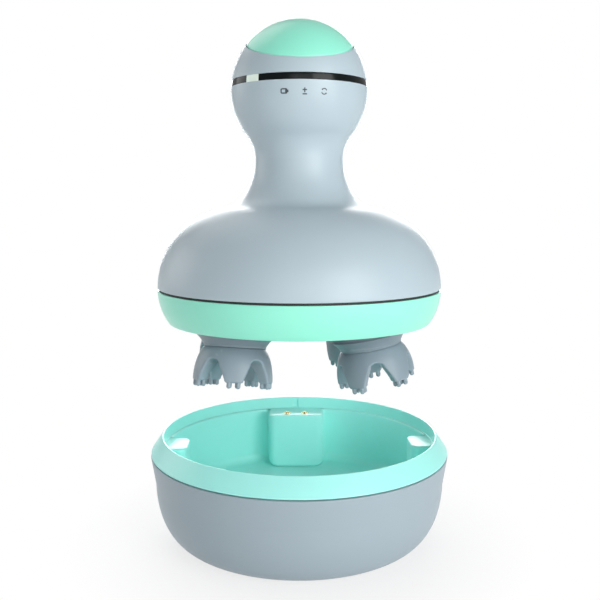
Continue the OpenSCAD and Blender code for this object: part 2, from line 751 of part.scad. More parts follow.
module pads(r, low, top) for (side = [-1, 1]) translate([side * contact_gap / 2, contact_y, low])
    cylinder(r = r, h = top - low, $fn = fine);

module base_plate() color(slate) lifted() difference() {
    rotate_extrude() polygon([[0, cover_z], [flange_r - slip, cover_z], [flange_r - slip, flange_t],
        [ring_in - slip, flange_t], [ring_in - slip, cover_top], [boss_place - post_r - slip, cover_top],
        [boss_place - post_r - slip, plate_z], [0, plate_z]]);
    for (a = head_dirs) rotate([0, 0, a]) translate([head_r, 0, 0])
        cylinder(r = plate_hole, h = cover_top + over);
    four_ways(0) translate([frame_place, 0, 0]) screw_hole(plate_z);
    four_ways(boss_turn) translate([boss_place, 0, 0]) screw_hole(cover_top);
    pads(pad_contact_r + fit, 0, cover_top + over);
}

// Hole with a recess for a screw's head, through the bottom cover up to height top
module screw_hole(top) {
    cylinder(r = screw_r + slip, h = top + over, $fn = fine);
    cylinder(r = screw_head_r + slip, h = cover_z + screw_head_h, $fn = fine);
}

pad_contact_r = 2;
pad_stud = 0.6;                                     // what a pad stands up behind the cover

module contact_pads() color(brass) lifted() pads(pad_contact_r, cover_z, plate_z + pad_stud);

// A screw from the bottom cover's recess up to height top
module cover_screw(top) screw_up(cover_z + screw_head_h, top - cover_z - screw_head_h);

module frame_screws() color(steel) lifted() four_ways(0) translate([frame_place, 0, 0])
    cover_screw(tray_z + plate_t + grip - 2 * thread_end);

module plate_screws() color(steel) lifted() four_ways(boss_turn) translate([boss_place, 0, 0])
    cover_screw(cover_top + boss_hole - boss_free);

module base_ring() color(teal) lifted() rotate_extrude() polygon(concat(
    [[flange_r, 0]],
    arc([ring_side(0) - ring_edge * 1.4, ring_edge], ring_edge, -90, -30),
    arc(ring_c, ring_round, -asin((bell_z - cover_z) / ring_round), -asin((bell_z - seam_z) / ring_round)),
    [[spigot_r + slip, seam_z], [spigot_r + slip, spigot_z - slip], [ring_in, spigot_z - slip - ring_bevel],
        [ring_in, flange_t], [flange_r, flange_t]]));

module bell_seal() color(black) lifted() translate([0, 0, seam_z])
    tube(bell_r - seam_depth, spigot_r + fit, seam_h);

// --- massager: heads ---

module head_collar(i) color(grey) at_claw(i) rotate_extrude() polygon(concat(
    arc([0, 0], collar_r, asin(zone_up / collar_r), -asin(zone_down / collar_r)),
    [[joint_r + lip_w, joint_z + lip_h], [joint_r + lip_w - lip_step, joint_z + lip_h - lip_step],
        [joint_r + lip_foot, joint_z], [shaft_r + fit, joint_z], [shaft_r + fit, -hub_top], [hub_r, -hub_top],
        [hub_r, joint_z + lip_h], [joint_r - lip_in, joint_z + lip_h]],
    arc([0, 0], collar_in, -asin(zone_down / collar_in), asin(zone_up / collar_in))));

collar_in = collar_r - collar_wall;

// Points of the claw's side from the tips up to the joint
claw_oval_h = claw_len * 1.12;
claw_bulge = (tip_r - joint_r) / (1 - sqrt(1 - pow(claw_len / claw_oval_h, 2)));
function claw_side() = [for (k = [0:8]) let (up = k / 8 * claw_len)
    [tip_r - claw_bulge * (1 - sqrt(1 - pow(up / claw_oval_h, 2))), tip_z + up]];

// Side view of a finger, which widens into the arches above
module finger_plan() {
    half = finger_w / 2;
    waist = half + finger_flare;
    spring = joint_z - crown_h - arch_r;     // height at which the arches start
    side = [[half - finger_edge, tip_z], [half, tip_z + finger_edge], [waist, spring],
        [waist, spring + over]];
    polygon(concat(side, [for (p = reversed(side)) [-p[0], p[1]]]));
    difference() {
        translate([-waist - arch_r, spring]) square([2 * (waist + arch_r), joint_z - spring]);
        for (side = [-1, 1]) translate([side * (waist + arch_r), spring]) circle(r = arch_r, $fn = fine);
    }
}

module nub() rotate_extrude($fn = fine) polygon([[0, nub_z], [nub_r * 0.6, nub_z],
    [nub_r, nub_z + nub_r * 0.5], [nub_r, tip_z + nub_root], [0, tip_z + nub_root]]);

module massage_claw(i) color(pale_grey) at_claw(i) difference() {
    union() {
        intersection() {
            difference() {
                rotate_extrude() polygon(concat([[0, tip_z]], claw_side(), [[0, joint_z]]));
                rotate_extrude() polygon(concat([[0, tip_z - over], [tip_r - finger_t, tip_z - over]],
                    oval([0, tip_z], tip_r - finger_t, claw_len - roof_t, 0, 90)));
            }
            union() {
                translate([0, 0, joint_z - crown_h - crown_lap]) cylinder(r = 2 * tip_r, h = crown_h + over);
                for (k = [0:finger_count - 1]) rotate([0, 0, finger_turn + k * 360 / finger_count])
                    rotate([90, 0, 0]) linear_extrude(height = 2 * tip_r) finger_plan();
            }
        }
        for (k = [0:finger_count - 1], side = [-1, 1], row = [-1, 1])
            rotate([0, 0, finger_turn + k * 360 / finger_count + side * asin(nub_gap / 2 / nub_ring)])
                translate([0, -nub_ring - row * nub_rows / 2, 0]) nub();
    }
    translate([0, 0, -stub_len - slip]) cylinder(r = shaft_r + fit, h = stub_len, $fn = fine);
}

// --- cradle ---

liner_post = 3;                      // length of the bowl's posts
boss_top = liner_bottom - liner_post;  // where they stand on the shell's posts
foot_t = 1.4;                        // thickness of a rubber foot
foot_play = 0.1;                     // gap round a rubber foot
foot_lap = 0.4;                      // from a foot to the screw's head above it
liner_head_z = foot_t + foot_lap + screw_head_h;
charge_up = 1.8;                     // height of the charging board's posts
charge_post_r = 1.8;
charge_inset = 3;                    // from the charging board's edges to its posts
board_low = shell_floor + charge_up; // underside of the charging board
socket_low = board_low + board_t;
socket_back = 1.4;                   // depth of the socket's mouth behind the shell's outside
socket_over = 6.6;                   // length of the socket beyond its board
// Radius of the shell's outside at height z of its foot
function shell_side(z) = shell_c[0] + foot_w * sqrt(1 - pow((shell_c[1] - z) / foot_h, 2));
socket_y = shell_side(socket_low + socket_h / 2) - socket_back;
charge_back = socket_y - socket_over;

module at_feet() for (x = [-pad_x, pad_x], y = [-pad_x, pad_x]) translate([x, y, 0]) children();

module cradle_shell() color(grey) difference() {
    union() {
        rotate_extrude() polygon(concat(
            [[0, foot_gap]], reversed(oval(shell_c, foot_w, foot_h, 0, -90)),
            [[cradle_r, shell_top], [cradle_r - cradle_wall, shell_top],
                [cradle_r - cradle_wall, spigot_low],
                [shell_c[0] + foot_w - cradle_wall + (spigot_low - shell_c[1]) * tan(cradle_taper),
                    spigot_low]],
            oval(shell_c, foot_w - cradle_wall, foot_h - cradle_wall, 0, -90), [[0, shell_floor]]));
        at_feet() translate([0, 0, foot_gap])
            cylinder(r = cradle_post_r, h = boss_top - foot_gap, $fn = fine);
        for (x = (charge_w / 2 - charge_inset) * [-1, 1],
            y = [charge_back - charge_len + charge_inset, charge_back - charge_inset])
            translate([x, y, shell_floor - over])
                cylinder(r = charge_post_r, h = charge_up + over, $fn = fine);
    }
    at_feet() {
        translate([0, 0, foot_gap - over])
            cylinder(r = pad_r + foot_play, h = foot_t - foot_gap + over, $fn = fine);
        cylinder(r = screw_head_r + slip, h = liner_head_z, $fn = fine);
        cylinder(r = screw_r + slip, h = boss_top + over, $fn = fine);
    }
    translate([-socket_w / 2 - slip, socket_y - socket_len, socket_low - slip])
        cube([socket_w + 2 * slip, cradle_r, socket_h + 2 * slip]);
}

// The four supports, made thinner all round by inset
module supports(inset) {
    round = block_round - inset / 2;
    back = bowl_r + inset;
    support_plan(block_w - 2 * inset, block_y + inset, round, back);
    rotate([0, 0, 180]) support_plan(front_w - 2 * inset, front_y + inset, round, back);
    for (a = [90, -90]) rotate([0, 0, a])
        support_plan(side_w - 2 * inset, bowl_r - side_reach + inset, round, back);
}

// Arc of the bowl's corner from the floor up to the wall, moved outwards by outset
function bowl_corner(outset) =
    arc([bowl_r - bowl_round, floor_z + bowl_round], bowl_round + outset, -90, 0);

module cradle_liner() color(teal) difference() {
    union() {
        rotate_extrude() polygon(concat(
            [[0, floor_z]],
            bowl_corner(0),
            [[bowl_r, dock_z], [recess_r, dock_z], [recess_r, rim_z - ridge_edge],
                [recess_r + ridge_edge, rim_z], [recess_r + ridge_w, rim_z],
                [cradle_r - rim_inset, rim_z - rim_slope], [cradle_r - rim_inset, flange_low],
                [spigot_out, flange_low], [spigot_out, spigot_low],
                [bowl_r + bowl_wall, spigot_low]],
            reversed(bowl_corner(bowl_wall)),
            [[0, liner_bottom]]));
        intersection() {
            translate([0, 0, liner_bottom]) linear_extrude(height = dock_z - liner_bottom) supports(0);
            rotate_extrude() polygon(concat([[0, floor_z - bowl_wall / 2]],
                bowl_corner(bowl_wall / 2), [[bowl_r + bowl_wall / 2, dock_z], [0, dock_z]]));
        }
        at_feet() translate([0, 0, boss_top]) cylinder(r = cradle_post_r, h = liner_post + fit, $fn = fine);
    }
    intersection() {
        translate([0, 0, liner_bottom - over])
            linear_extrude(height = dock_z - bowl_wall - liner_bottom + over) supports(bowl_wall);
        cylinder(r = bowl_r - fit, h = dock_z);
    }
    at_feet() translate([0, 0, boss_top - over])
        cylinder(r = screw_r + fit, h = floor_z - floor_skin - boss_top + over, $fn = fine);
    for (side = [-1, 1]) translate([side * contact_gap / 2, contact_y, dock_z - bowl_wall - over])
        cylinder(r = sleeve_r + fit, h = bowl_wall + 2 * over, $fn = fine);
    // Notch in the rim's inside, over the contacts
    translate([-notch_w / 2, recess_r - over, dock_z + notch_end])
        cube([notch_w, over + notch_d, dock_depth - 2 * notch_end]);
}

floor_skin = 0.5;                    // what the screw holes leave of the bowl's floor
notch_w = 2.4;
notch_d = 0.5;
notch_end = 0.7;

carrier_top = dock_z - bowl_wall;
carrier_h = 6.7;
carrier_d = 6.5;
carrier_w = block_w - 2 * (bowl_wall + block_round - bowl_wall / 2);
contact_board_z = carrier_top - carrier_h - board_t;
sleeve_low = contact_board_z + board_t;
sleeve_floor = 0.5;
sleeve_up = 0.1;                     // what a sleeve stands out of the support
pin_in = 3.7;                        // length of a pin inside its sleeve
pin_low = dock_z - pin_in;
pin_up = pin_travel + pin_stay;
pin_tip = 0.4;                       // height of a pin's rounded tip
coil_gap = 0.05;                     // gap round a spring
coil_t = 0.35;                       // thickness of a spring

module contact_sleeves() color(brass) for (side = [-1, 1])
    translate([side * contact_gap / 2, contact_y, sleeve_low]) difference() {
        cylinder(r = sleeve_r, h = dock_z + sleeve_up - sleeve_low, $fn = fine);
        translate([0, 0, sleeve_floor]) cylinder(r = pin_r + shaft_play, h = dock_z, $fn = fine);
    }

module contact_pin(side) color(brass) translate([side * contact_gap / 2, contact_y, 0])
    rotate_extrude($fn = fine) polygon([[0, pin_low], [pin_r, pin_low], [pin_r, dock_z + pin_up - pin_tip],
        [pin_r * 0.8, dock_z + pin_up - pin_tip / 4], [pin_r * 0.45, dock_z + pin_up],
        [0, dock_z + pin_up]]);

module pin_spring(side) color(steel)
    translate([side * contact_gap / 2, contact_y, sleeve_low + sleeve_floor])
        tube(pin_r - coil_gap, pin_r - coil_gap - coil_t, pin_low - sleeve_low - sleeve_floor, $fn = fine);

module pin_carrier() color(black) difference() {
    translate([-carrier_w / 2, block_y + bowl_wall + slip / 2, carrier_top - carrier_h])
        cube([carrier_w, carrier_d, carrier_h]);
    for (side = [-1, 1]) translate([side * contact_gap / 2, contact_y, carrier_top - carrier_h - over])
        cylinder(r = sleeve_r + fit, h = carrier_h + 2 * over, $fn = fine);
}

module contact_board() color(board_green)
    translate([-carrier_w / 2, block_y + bowl_wall + slip / 2, contact_board_z])
        cube([carrier_w, carrier_d, board_t]);

module charge_board() color(board_green) translate([-charge_w / 2, charge_back - charge_len, board_low])
    cube([charge_w, charge_len, board_t]);

socket_wall = 0.45;
socket_deep = 6;                     // depth of the socket's mouth
tongue_t = 0.7;
tongue_side = 1.3;                   // from the socket's side to its tongue
tongue_back = 0.6;                   // from the mouth to the tongue's end

module charging_socket() color(steel) translate([-socket_w / 2, socket_y - socket_len, socket_low])
    difference() {
        cube([socket_w, socket_len, socket_h]);
        difference() {
            translate([socket_wall, socket_len - socket_deep, socket_wall])
                cube([socket_w - 2 * socket_wall, socket_deep + over, socket_h - 2 * socket_wall]);
            translate([tongue_side, 0, (socket_h - tongue_t) / 2])
                cube([socket_w - 2 * tongue_side, socket_len - tongue_back, tongue_t]);
        }
    }

module rubber_feet() color(black) at_feet() cylinder(r = pad_r, h = foot_t, $fn = fine);

module cradle_screws() color(steel) at_feet()
    screw_up(liner_head_z, floor_z - floor_skin - thread_end - liner_head_z);

main_housing();
ball_cover();
indicator_ring();
status_lens();
power_button();
switch_plunger();
tact_switch();
switch_board();
control_board();
status_led();
board_screws();
battery();
battery_holder();
motor();
gearbox();
output_shaft();
motor_screws();
sun_gear();
head_gear(0);  // head_gear_1
head_gear(1);  // head_gear_2
head_gear(2);  // head_gear_3
head_gear(3);  // head_gear_4
head_shaft(0);  // head_shaft_1
head_shaft(1);  // head_shaft_2
head_shaft(2);  // head_shaft_3
head_shaft(3);  // head_shaft_4
gear_tray();
gear_cover();
shaft_bushes();
shaft_seals();
base_plate();
base_ring();
bell_seal();
head_collar(0);  // head_collar_1
head_collar(1);  // head_collar_2
head_collar(2);  // head_collar_3
head_collar(3);  // head_collar_4
massage_claw(0);  // massage_claw_1
massage_claw(1);  // massage_claw_2
massage_claw(2);  // massage_claw_3
massage_claw(3);  // massage_claw_4
contact_pads();
plate_screws();
frame_screws();
cradle_shell();
cradle_liner();
contact_sleeves();
contact_pin(-1);  // contact_pin_left
contact_pin(1);  // contact_pin_right
pin_spring(-1);  // pin_spring_left
pin_spring(1);  // pin_spring_right
pin_carrier();
contact_board();
charge_board();
charging_socket();
rubber_feet();
cradle_screws();
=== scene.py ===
import json
import math
import bmesh
import bpy
from mathutils import Matrix, Vector


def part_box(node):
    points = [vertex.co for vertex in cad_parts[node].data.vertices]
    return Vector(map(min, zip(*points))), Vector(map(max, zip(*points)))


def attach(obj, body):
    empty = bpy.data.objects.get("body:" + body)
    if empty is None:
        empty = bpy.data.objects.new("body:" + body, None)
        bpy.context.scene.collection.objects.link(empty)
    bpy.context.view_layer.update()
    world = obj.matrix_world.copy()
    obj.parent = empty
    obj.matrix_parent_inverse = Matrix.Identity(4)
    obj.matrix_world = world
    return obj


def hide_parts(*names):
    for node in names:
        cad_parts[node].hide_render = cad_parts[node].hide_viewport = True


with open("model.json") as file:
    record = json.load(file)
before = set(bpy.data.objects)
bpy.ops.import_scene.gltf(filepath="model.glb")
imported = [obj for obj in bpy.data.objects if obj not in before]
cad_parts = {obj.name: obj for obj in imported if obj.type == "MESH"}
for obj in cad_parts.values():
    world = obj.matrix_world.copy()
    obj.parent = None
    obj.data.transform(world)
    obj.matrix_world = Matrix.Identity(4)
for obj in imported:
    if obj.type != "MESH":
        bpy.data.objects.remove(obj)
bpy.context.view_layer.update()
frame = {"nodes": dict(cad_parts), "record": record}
print("frame loaded")

# Lengths are millimetres and angles are degrees. The massager's own heights count from the
# bottom edge of its teal ring, which the frame holds at liftHeight.
mm = 0.001
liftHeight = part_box("base_ring")[0].z / mm
lifted = Matrix.Translation((0, 0, liftHeight * mm))
slotOf = {row["node"]: row["material_slot"] for row in frame["record"]["subparts"]}
finish = {}  # Blender material for each of the record's slots
weldDistance = 1e-7  # metres
sharpAngle = 38


# ---- outlines and meshes ----

def arcPath(centre, radius, start, end, stepAngle=3, tall=1):
    steps = max(2, math.ceil(abs(end - start) / stepAngle))
    turns = [math.radians(start + (end - start) * i / steps) for i in range(steps + 1)]
    return [(centre[0] + radius * math.cos(a), centre[1] + tall * radius * math.sin(a)) for a in turns]


# Corners are (x, y) or (x, y, radius); a radius turns the corner into an arc
def roundCorners(corners, closed=True, steps=5):
    path = []
    for i, corner in enumerate(corners):
        here = Vector(corner[:2])
        ends = not closed and i in (0, len(corners) - 1)
        if len(corner) < 3 or ends:
            path.append(tuple(here))
            continue
        back = (Vector(corners[i - 1][:2]) - here).normalized()
        ahead = (Vector(corners[(i + 1) % len(corners)][:2]) - here).normalized()
        half = back.angle(ahead) / 2
        centre = here + (back + ahead).normalized() * corner[2] / math.sin(half)
        first = here + back * corner[2] / math.tan(half) - centre
        last = here + ahead * corner[2] / math.tan(half) - centre
        start = math.atan2(first.y, first.x)
        sweep = math.atan2(first.x * last.y - first.y * last.x, first.dot(last))
        for k in range(steps + 1):
            a = start + sweep * k / steps
            path.append((centre.x + corner[2] * math.cos(a), centre.y + corner[2] * math.sin(a)))
    return path


# Joins rings of equal length with quads; the first and last ring are joined or capped
def loft(rings, joined=False, capped=False):
    width = len(rings[0])
    rows = len(rings)
    faces = []
    for i in range(rows if joined else rows - 1):
        here, there = i * width, (i + 1) % rows * width
        for j in range(width):
            k = (j + 1) % width
            faces.append((here + j, here + k, there + k, there + j))
    if capped:
        faces.append(tuple(range(width)))
        faces.append(tuple(range((rows - 1) * width, rows * width)))
    return [p for ring in rings for p in ring], faces


def ringAt(radius, height, count):
    turns = [2 * math.pi * k / count for k in range(count)]
    return [(radius * math.cos(a), radius * math.sin(a), height) for a in turns]


def shifted(part, x, y):
    points, faces = part
    return [(px + x, py + y, pz) for px, py, pz in points], faces


# A closed outline of (radius, height) points turned about Z
def spin(outline, count=240):
    return loft([ringAt(r, z, count) for r, z in outline], joined=True)


# Angles of a quarter circle in equal steps
def quarterTurn(steps):
    return [math.radians(90 * k / steps) for k in range(steps + 1)]


def addObject(name, data):
    made = bpy.data.objects.new(name, data)
    bpy.context.scene.collection.objects.link(made)
    return made


def meshOf(name, parts, place=Matrix()):
    shape = bmesh.new()
    for points, faces in parts:
        made = [shape.verts.new(Vector(p) * mm) for p in points]
        for face in faces:
            shape.faces.new([made[i] for i in face])
    bmesh.ops.remove_doubles(shape, verts=shape.verts, dist=weldDistance)
    bmesh.ops.recalc_face_normals(shape, faces=shape.faces)
    shape.transform(place)
    mesh = bpy.data.meshes.new(name)
    shape.to_mesh(mesh)
    shape.free()
    return mesh


def smooth(mesh):
    mesh.polygons.foreach_set("use_smooth", [True] * len(mesh.polygons))
    mesh.set_sharp_from_angle(angle=math.radians(sharpAngle))


# Builds one object out of lofted parts, and hands it to the frame
def makePiece(name, parts, body, nodes, place=Matrix(), slotName=None):
    mesh = meshOf(name, parts, place)
    smooth(mesh)
    piece = addObject(name, mesh)
    slotName = slotName or slotOf[nodes[0]]
    mesh.materials.append(finish[slotName])
    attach(piece, body)
    if nodes:
        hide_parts(*nodes)
    return piece


# ---- camera and light ----

cameraView = {
    "place": (-10.3, -302.32, 129.2),
    "pitchDown": 7.2,
    "turnRight": 2,
    "lens": 48,
    "sensor": 36,
}


def makeCamera():
    lens = bpy.data.cameras.new("camera")
    lens.sensor_width = cameraView["sensor"]
    lens.lens = cameraView["lens"]
    lens.clip_start = 0.01
    lens.clip_end = 20
    view = addObject("camera", lens)
    view.location = Vector(cameraView["place"]) * mm
    pitch = math.radians(90 - cameraView["pitchDown"])
    view.rotation_euler = (pitch, 0, -math.radians(cameraView["turnRight"]))
    bpy.context.scene.camera = view


# way is a lamp's azimuth and elevation, and level is about how bright the lamp alone makes a
# white surface that faces it
studioLamps = {
    "keyRight": {"way": (37, 9), "distance": 0.75, "size": (0.45, 0.6), "level": 0.86, "shine": 0.7},
    "front": {"way": (0, 12), "distance": 0.9, "size": (0.5, 0.5), "level": 0.17, "shine": 0.5},
    "sideLeft": {"way": (-112, 15), "distance": 0.8, "size": (0.5, 0.4), "level": 0.2, "shine": 0.3},
    "backLeft": {"way": (-140, 50), "distance": 0.8, "size": (0.5, 0.5), "level": 0.18, "shine": 0.3},
    "backLow": {"way": (178, 13), "distance": 0.8, "size": (0.7, 0.4), "level": 1.1, "shine": 0},
}
studioAir = {"colour": (0.97, 0.99, 1), "ambient": 0.22, "aimHeight": 90, "room": (0.2, 0.5),
             "roomFade": (-0.5, 0.4)}


def makeLamps():
    for name, lamp in studioLamps.items():
        light = bpy.data.lights.new(name, "AREA")
        light.shape = "RECTANGLE"
        light.size, light.size_y = lamp["size"]
        light.specular_factor = lamp["shine"]
        light.energy = lamp["level"] * math.pi ** 2 * lamp["distance"] ** 2
        a, e = (math.radians(turn) for turn in lamp["way"])
        away = Vector((math.sin(a) * math.cos(e), -math.cos(a) * math.cos(e), math.sin(e)))
        stand = addObject(name, light)
        stand.location = Vector((0, 0, studioAir["aimHeight"] * mm)) + away * lamp["distance"]
        stand.rotation_mode = "QUATERNION"
        stand.rotation_quaternion = (-away).to_track_quat("-Z", "Y")


# Adds a node, and sets each named input to a value or links another node's output to it
def addNode(nodes, kind, inputs=None, **settings):
    step = nodes.new("ShaderNode" + kind)
    for name, value in settings.items():
        setattr(step, name, value)
    for name, value in (inputs or {}).items():
        if hasattr(value, "is_output"):
            nodes.id_data.links.new(value, step.inputs[name])
        else:
            step.inputs[name].default_value = value
    return step


def combine(nodes, operation, first, second):
    return addNode(nodes, "Math", {0: first, 1: second}, operation=operation).outputs[0]


def rescale(nodes, value, start, end, low=0, high=1):
    return addNode(nodes, "MapRange", {
        "Value": value, "From Min": start, "From Max": end, "To Min": low, "To Max": high}).outputs["Result"]


# A mask that is 1 for the named kinds of ray
def rayMask(nodes, kinds):
    path = addNode(nodes, "LightPath")
    mask = path.outputs[kinds[0]]
    for kind in kinds[1:]:
        mask = combine(nodes, "MAXIMUM", mask, path.outputs[kind])
    return mask


seenDirectly = ("Is Camera Ray", "Is Transmission Ray")
seenAtAll = seenDirectly + ("Is Glossy Ray",)


def makeWorld():
    world = bpy.data.worlds.new("studio")
    bpy.context.scene.world = world
    world.use_nodes = True
    nodes = world.node_tree.nodes
    nodes.clear()
    lighting = addNode(nodes, "Background", {
        "Color": studioAir["colour"] + (1,), "Strength": studioAir["ambient"]})
    # Polished surfaces mirror a dim room in front of the object and a paler wall behind it
    way = addNode(nodes, "SeparateXYZ", {0: addNode(nodes, "TexCoord").outputs["Generated"]})
    room = rescale(nodes, way.outputs["Y"], *studioAir["roomFade"], *studioAir["room"])
    white = combine(nodes, "MAXIMUM", room, rayMask(nodes, seenDirectly))
    backdrop = addNode(nodes, "Background", {"Color": white, "Strength": 1})
    look = addNode(nodes, "MixShader", {
        0: rayMask(nodes, seenAtAll), 1: lighting.outputs[0], 2: backdrop.outputs[0]})
    addNode(nodes, "OutputWorld", {"Surface": look.outputs[0]})


studioFloor = {"halfSize": 3000, "white": 0.9, "shadowNear": 0.05, "shadowFar": 0.09, "shadowShare": 0.25}


def makeFloor():
    half = studioFloor["halfSize"] * mm
    mesh = bpy.data.meshes.new("floor")
    corners = [(-half, -half, 0), (half, -half, 0), (half, half, 0), (-half, half, 0)]
    mesh.from_pydata(corners, [], [(0, 1, 2, 3)])
    material = bpy.data.materials.new("floorWhite")
    material.use_nodes = True
    nodes = material.node_tree.nodes
    nodes.clear()
    paint = addNode(nodes, "BsdfDiffuse", {"Color": (studioFloor["white"],) * 3 + (1,)})
    # The shadow shows near the cradle and fades out to plain white
    place = addNode(nodes, "TexCoord").outputs["Object"]
    reach = addNode(nodes, "VectorMath", {0: place}, operation="LENGTH").outputs["Value"]
    fade = rescale(nodes, reach, studioFloor["shadowNear"], studioFloor["shadowFar"],
                   1 - studioFloor["shadowShare"])
    look = addNode(nodes, "MixShader", {
        0: combine(nodes, "MULTIPLY", fade, rayMask(nodes, seenAtAll)), 1: paint.outputs[0],
        2: addNode(nodes, "Emission").outputs[0]})
    addNode(nodes, "OutputMaterial", {"Surface": look.outputs[0]})
    mesh.materials.append(material)
    addObject("floor", mesh)


bpy.context.scene.view_settings.view_transform = "Standard"
makeCamera()
makeLamps()
makeWorld()
makeFloor()
print("camera, lamps and floor made")


# ---- shared effects ----

effects = {
    "waveScale": 34,
    "driftScale": 26,
    "ridge": (0.51, 0.6),  # pointiness where an edge starts to pale as wear and painted highlight, and where it fully does
    "markScale": 60,
    "speckScale": 900,
    "lineStretch": (0.04, 0.04, 1),
}


def newGroup(name, inputs, outputs):
    group = bpy.data.node_groups.new(name, "ShaderNodeTree")
    for socketName, kind, value in inputs:
        socket = group.interface.new_socket(name=socketName, in_out="INPUT", socket_type=kind)
        socket.default_value = value
    for socketName, kind in outputs:
        group.interface.new_socket(name=socketName, in_out="OUTPUT", socket_type=kind)
    nodes = group.nodes
    return group, nodes, nodes.new("NodeGroupInput").outputs, addNode(nodes, "TexCoord").outputs["Object"]


def finishGroup(group, results):
    end = group.nodes.new("NodeGroupOutput")
    for name, value in results.items():
        group.links.new(value, end.inputs[name])
    return group


def noise(nodes, place, scale, detail=3, roughness=0.55):
    return addNode(nodes, "TexNoise", {
        "Vector": place, "Scale": scale, "Detail": detail, "Roughness": roughness}).outputs["Fac"]


def blendColours(nodes, factor, first, second):
    mix = addNode(nodes, "Mix", {"Factor": factor, "A": first, "B": second}, data_type="RGBA")
    return mix.outputs["Result"]


# Fine eroded grain of a moulded surface over a long, low waviness
def makeMouldGrain():
    group, nodes, given, place = newGroup(
        "mouldGrain",
        [("Grain Scale", "NodeSocketFloat", 2600), ("Waviness", "NodeSocketFloat", 0.3)],
        [("Height", "NodeSocketFloat")])
    fine = noise(nodes, place, given["Grain Scale"])
    wave = noise(nodes, place, effects["waveScale"], detail=1)
    scaled = combine(nodes, "MULTIPLY", wave, given["Waviness"])
    return finishGroup(group, {"Height": combine(nodes, "ADD", fine, scaled)})


# Colour that drifts a little over the surface, and pales along convex edges as wear and as painted highlight
def makeToneDriftAndEdgeHighlight():
    group, nodes, given, place = newGroup(
        "toneDriftAndEdgeHighlight",
        [("Color", "NodeSocketColor", (0.5, 0.5, 0.5, 1)),
         ("Worn Highlight Edge Color", "NodeSocketColor", (0.6, 0.6, 0.6, 1)),
         ("Drift", "NodeSocketFloat", 0.05), ("Edge", "NodeSocketFloat", 0.3)],
        [("Color", "NodeSocketColor")])
    cloud = noise(nodes, place, effects["driftScale"], detail=4)
    centred = combine(nodes, "SUBTRACT", cloud, 0.5)
    shift = combine(nodes, "MULTIPLY", centred, given["Drift"])
    tone = addNode(nodes, "HueSaturation", {
        "Color": given["Color"], "Value": combine(nodes, "ADD", shift, 1.0)})
    # Convex edges pale towards the edge colour: wear with a painted highlight
    pointed = addNode(nodes, "NewGeometry").outputs["Pointiness"]
    wornHighlightEdge = combine(nodes, "MULTIPLY", rescale(nodes, pointed, *effects["ridge"]), given["Edge"])
    blend = blendColours(nodes, wornHighlightEdge, tone.outputs["Color"], given["Worn Highlight Edge Color"])
    return finishGroup(group, {"Color": blend})


# Roughness with faint handling marks and fine dust in it
def makeHandMarks():
    group, nodes, given, place = newGroup(
        "handMarks",
        [("Base", "NodeSocketFloat", 0.4), ("Marks", "NodeSocketFloat", 0.08)],
        [("Roughness", "NodeSocketFloat")])
    broad = noise(nodes, place, effects["markScale"], detail=5, roughness=0.6)
    specks = noise(nodes, place, effects["speckScale"], detail=2)
    centred = combine(nodes, "SUBTRACT", combine(nodes, "MULTIPLY", broad, specks), 0.25)
    marks = combine(nodes, "MULTIPLY", centred, given["Marks"])
    return finishGroup(group, {"Roughness": combine(nodes, "ADD", given["Base"], marks)})


# Fine parallel lines round the Z axis, as on drawn or turned metal
def makeTurnedLines():
    group, nodes, given, place = newGroup(
        "turnedLines",
        [("Line Scale", "NodeSocketFloat", 900)],
        [("Height", "NodeSocketFloat"), ("Streak", "NodeSocketFloat")])
    stretch = addNode(nodes, "VectorMath", {0: place, 1: effects["lineStretch"]}, operation="MULTIPLY")
    streak = noise(nodes, stretch.outputs["Vector"], given["Line Scale"], detail=4)
    return finishGroup(group, {"Height": streak, "Streak": streak})


mouldGrain = makeMouldGrain()
toneDriftAndEdgeHighlight = makeToneDriftAndEdgeHighlight()
handMarks = makeHandMarks()
turnedLines = makeTurnedLines()


# ---- finishes ----

def addGroup(nodes, group, values):
    return addNode(nodes, "Group", values, node_tree=group).outputs


def bumpFrom(nodes, height, depth):
    return addNode(nodes, "Bump", {"Height": height, "Distance": depth * mm, "Strength": 1}).outputs["Normal"]


def newFinish(name):
    material = bpy.data.materials.new(name)
    material.use_nodes = True
    material.node_tree.nodes.clear()
    return material, material.node_tree.nodes


def toneOf(nodes, look, drift, edge):
    return addGroup(nodes, toneDriftAndEdgeHighlight, {
        "Color": look["color"] + (1,), "Worn Highlight Edge Color": look["wornHighlightEdgeColor"] + (1,),
        "Drift": drift, "Edge": edge})["Color"]


def marksOf(nodes, rough, marks):
    return addGroup(nodes, handMarks, {"Base": rough, "Marks": marks})["Roughness"]


def finishShader(nodes, inputs):
    shader = addNode(nodes, "BsdfPrincipled", inputs)
    addNode(nodes, "OutputMaterial", {"Surface": shader.outputs["BSDF"]})
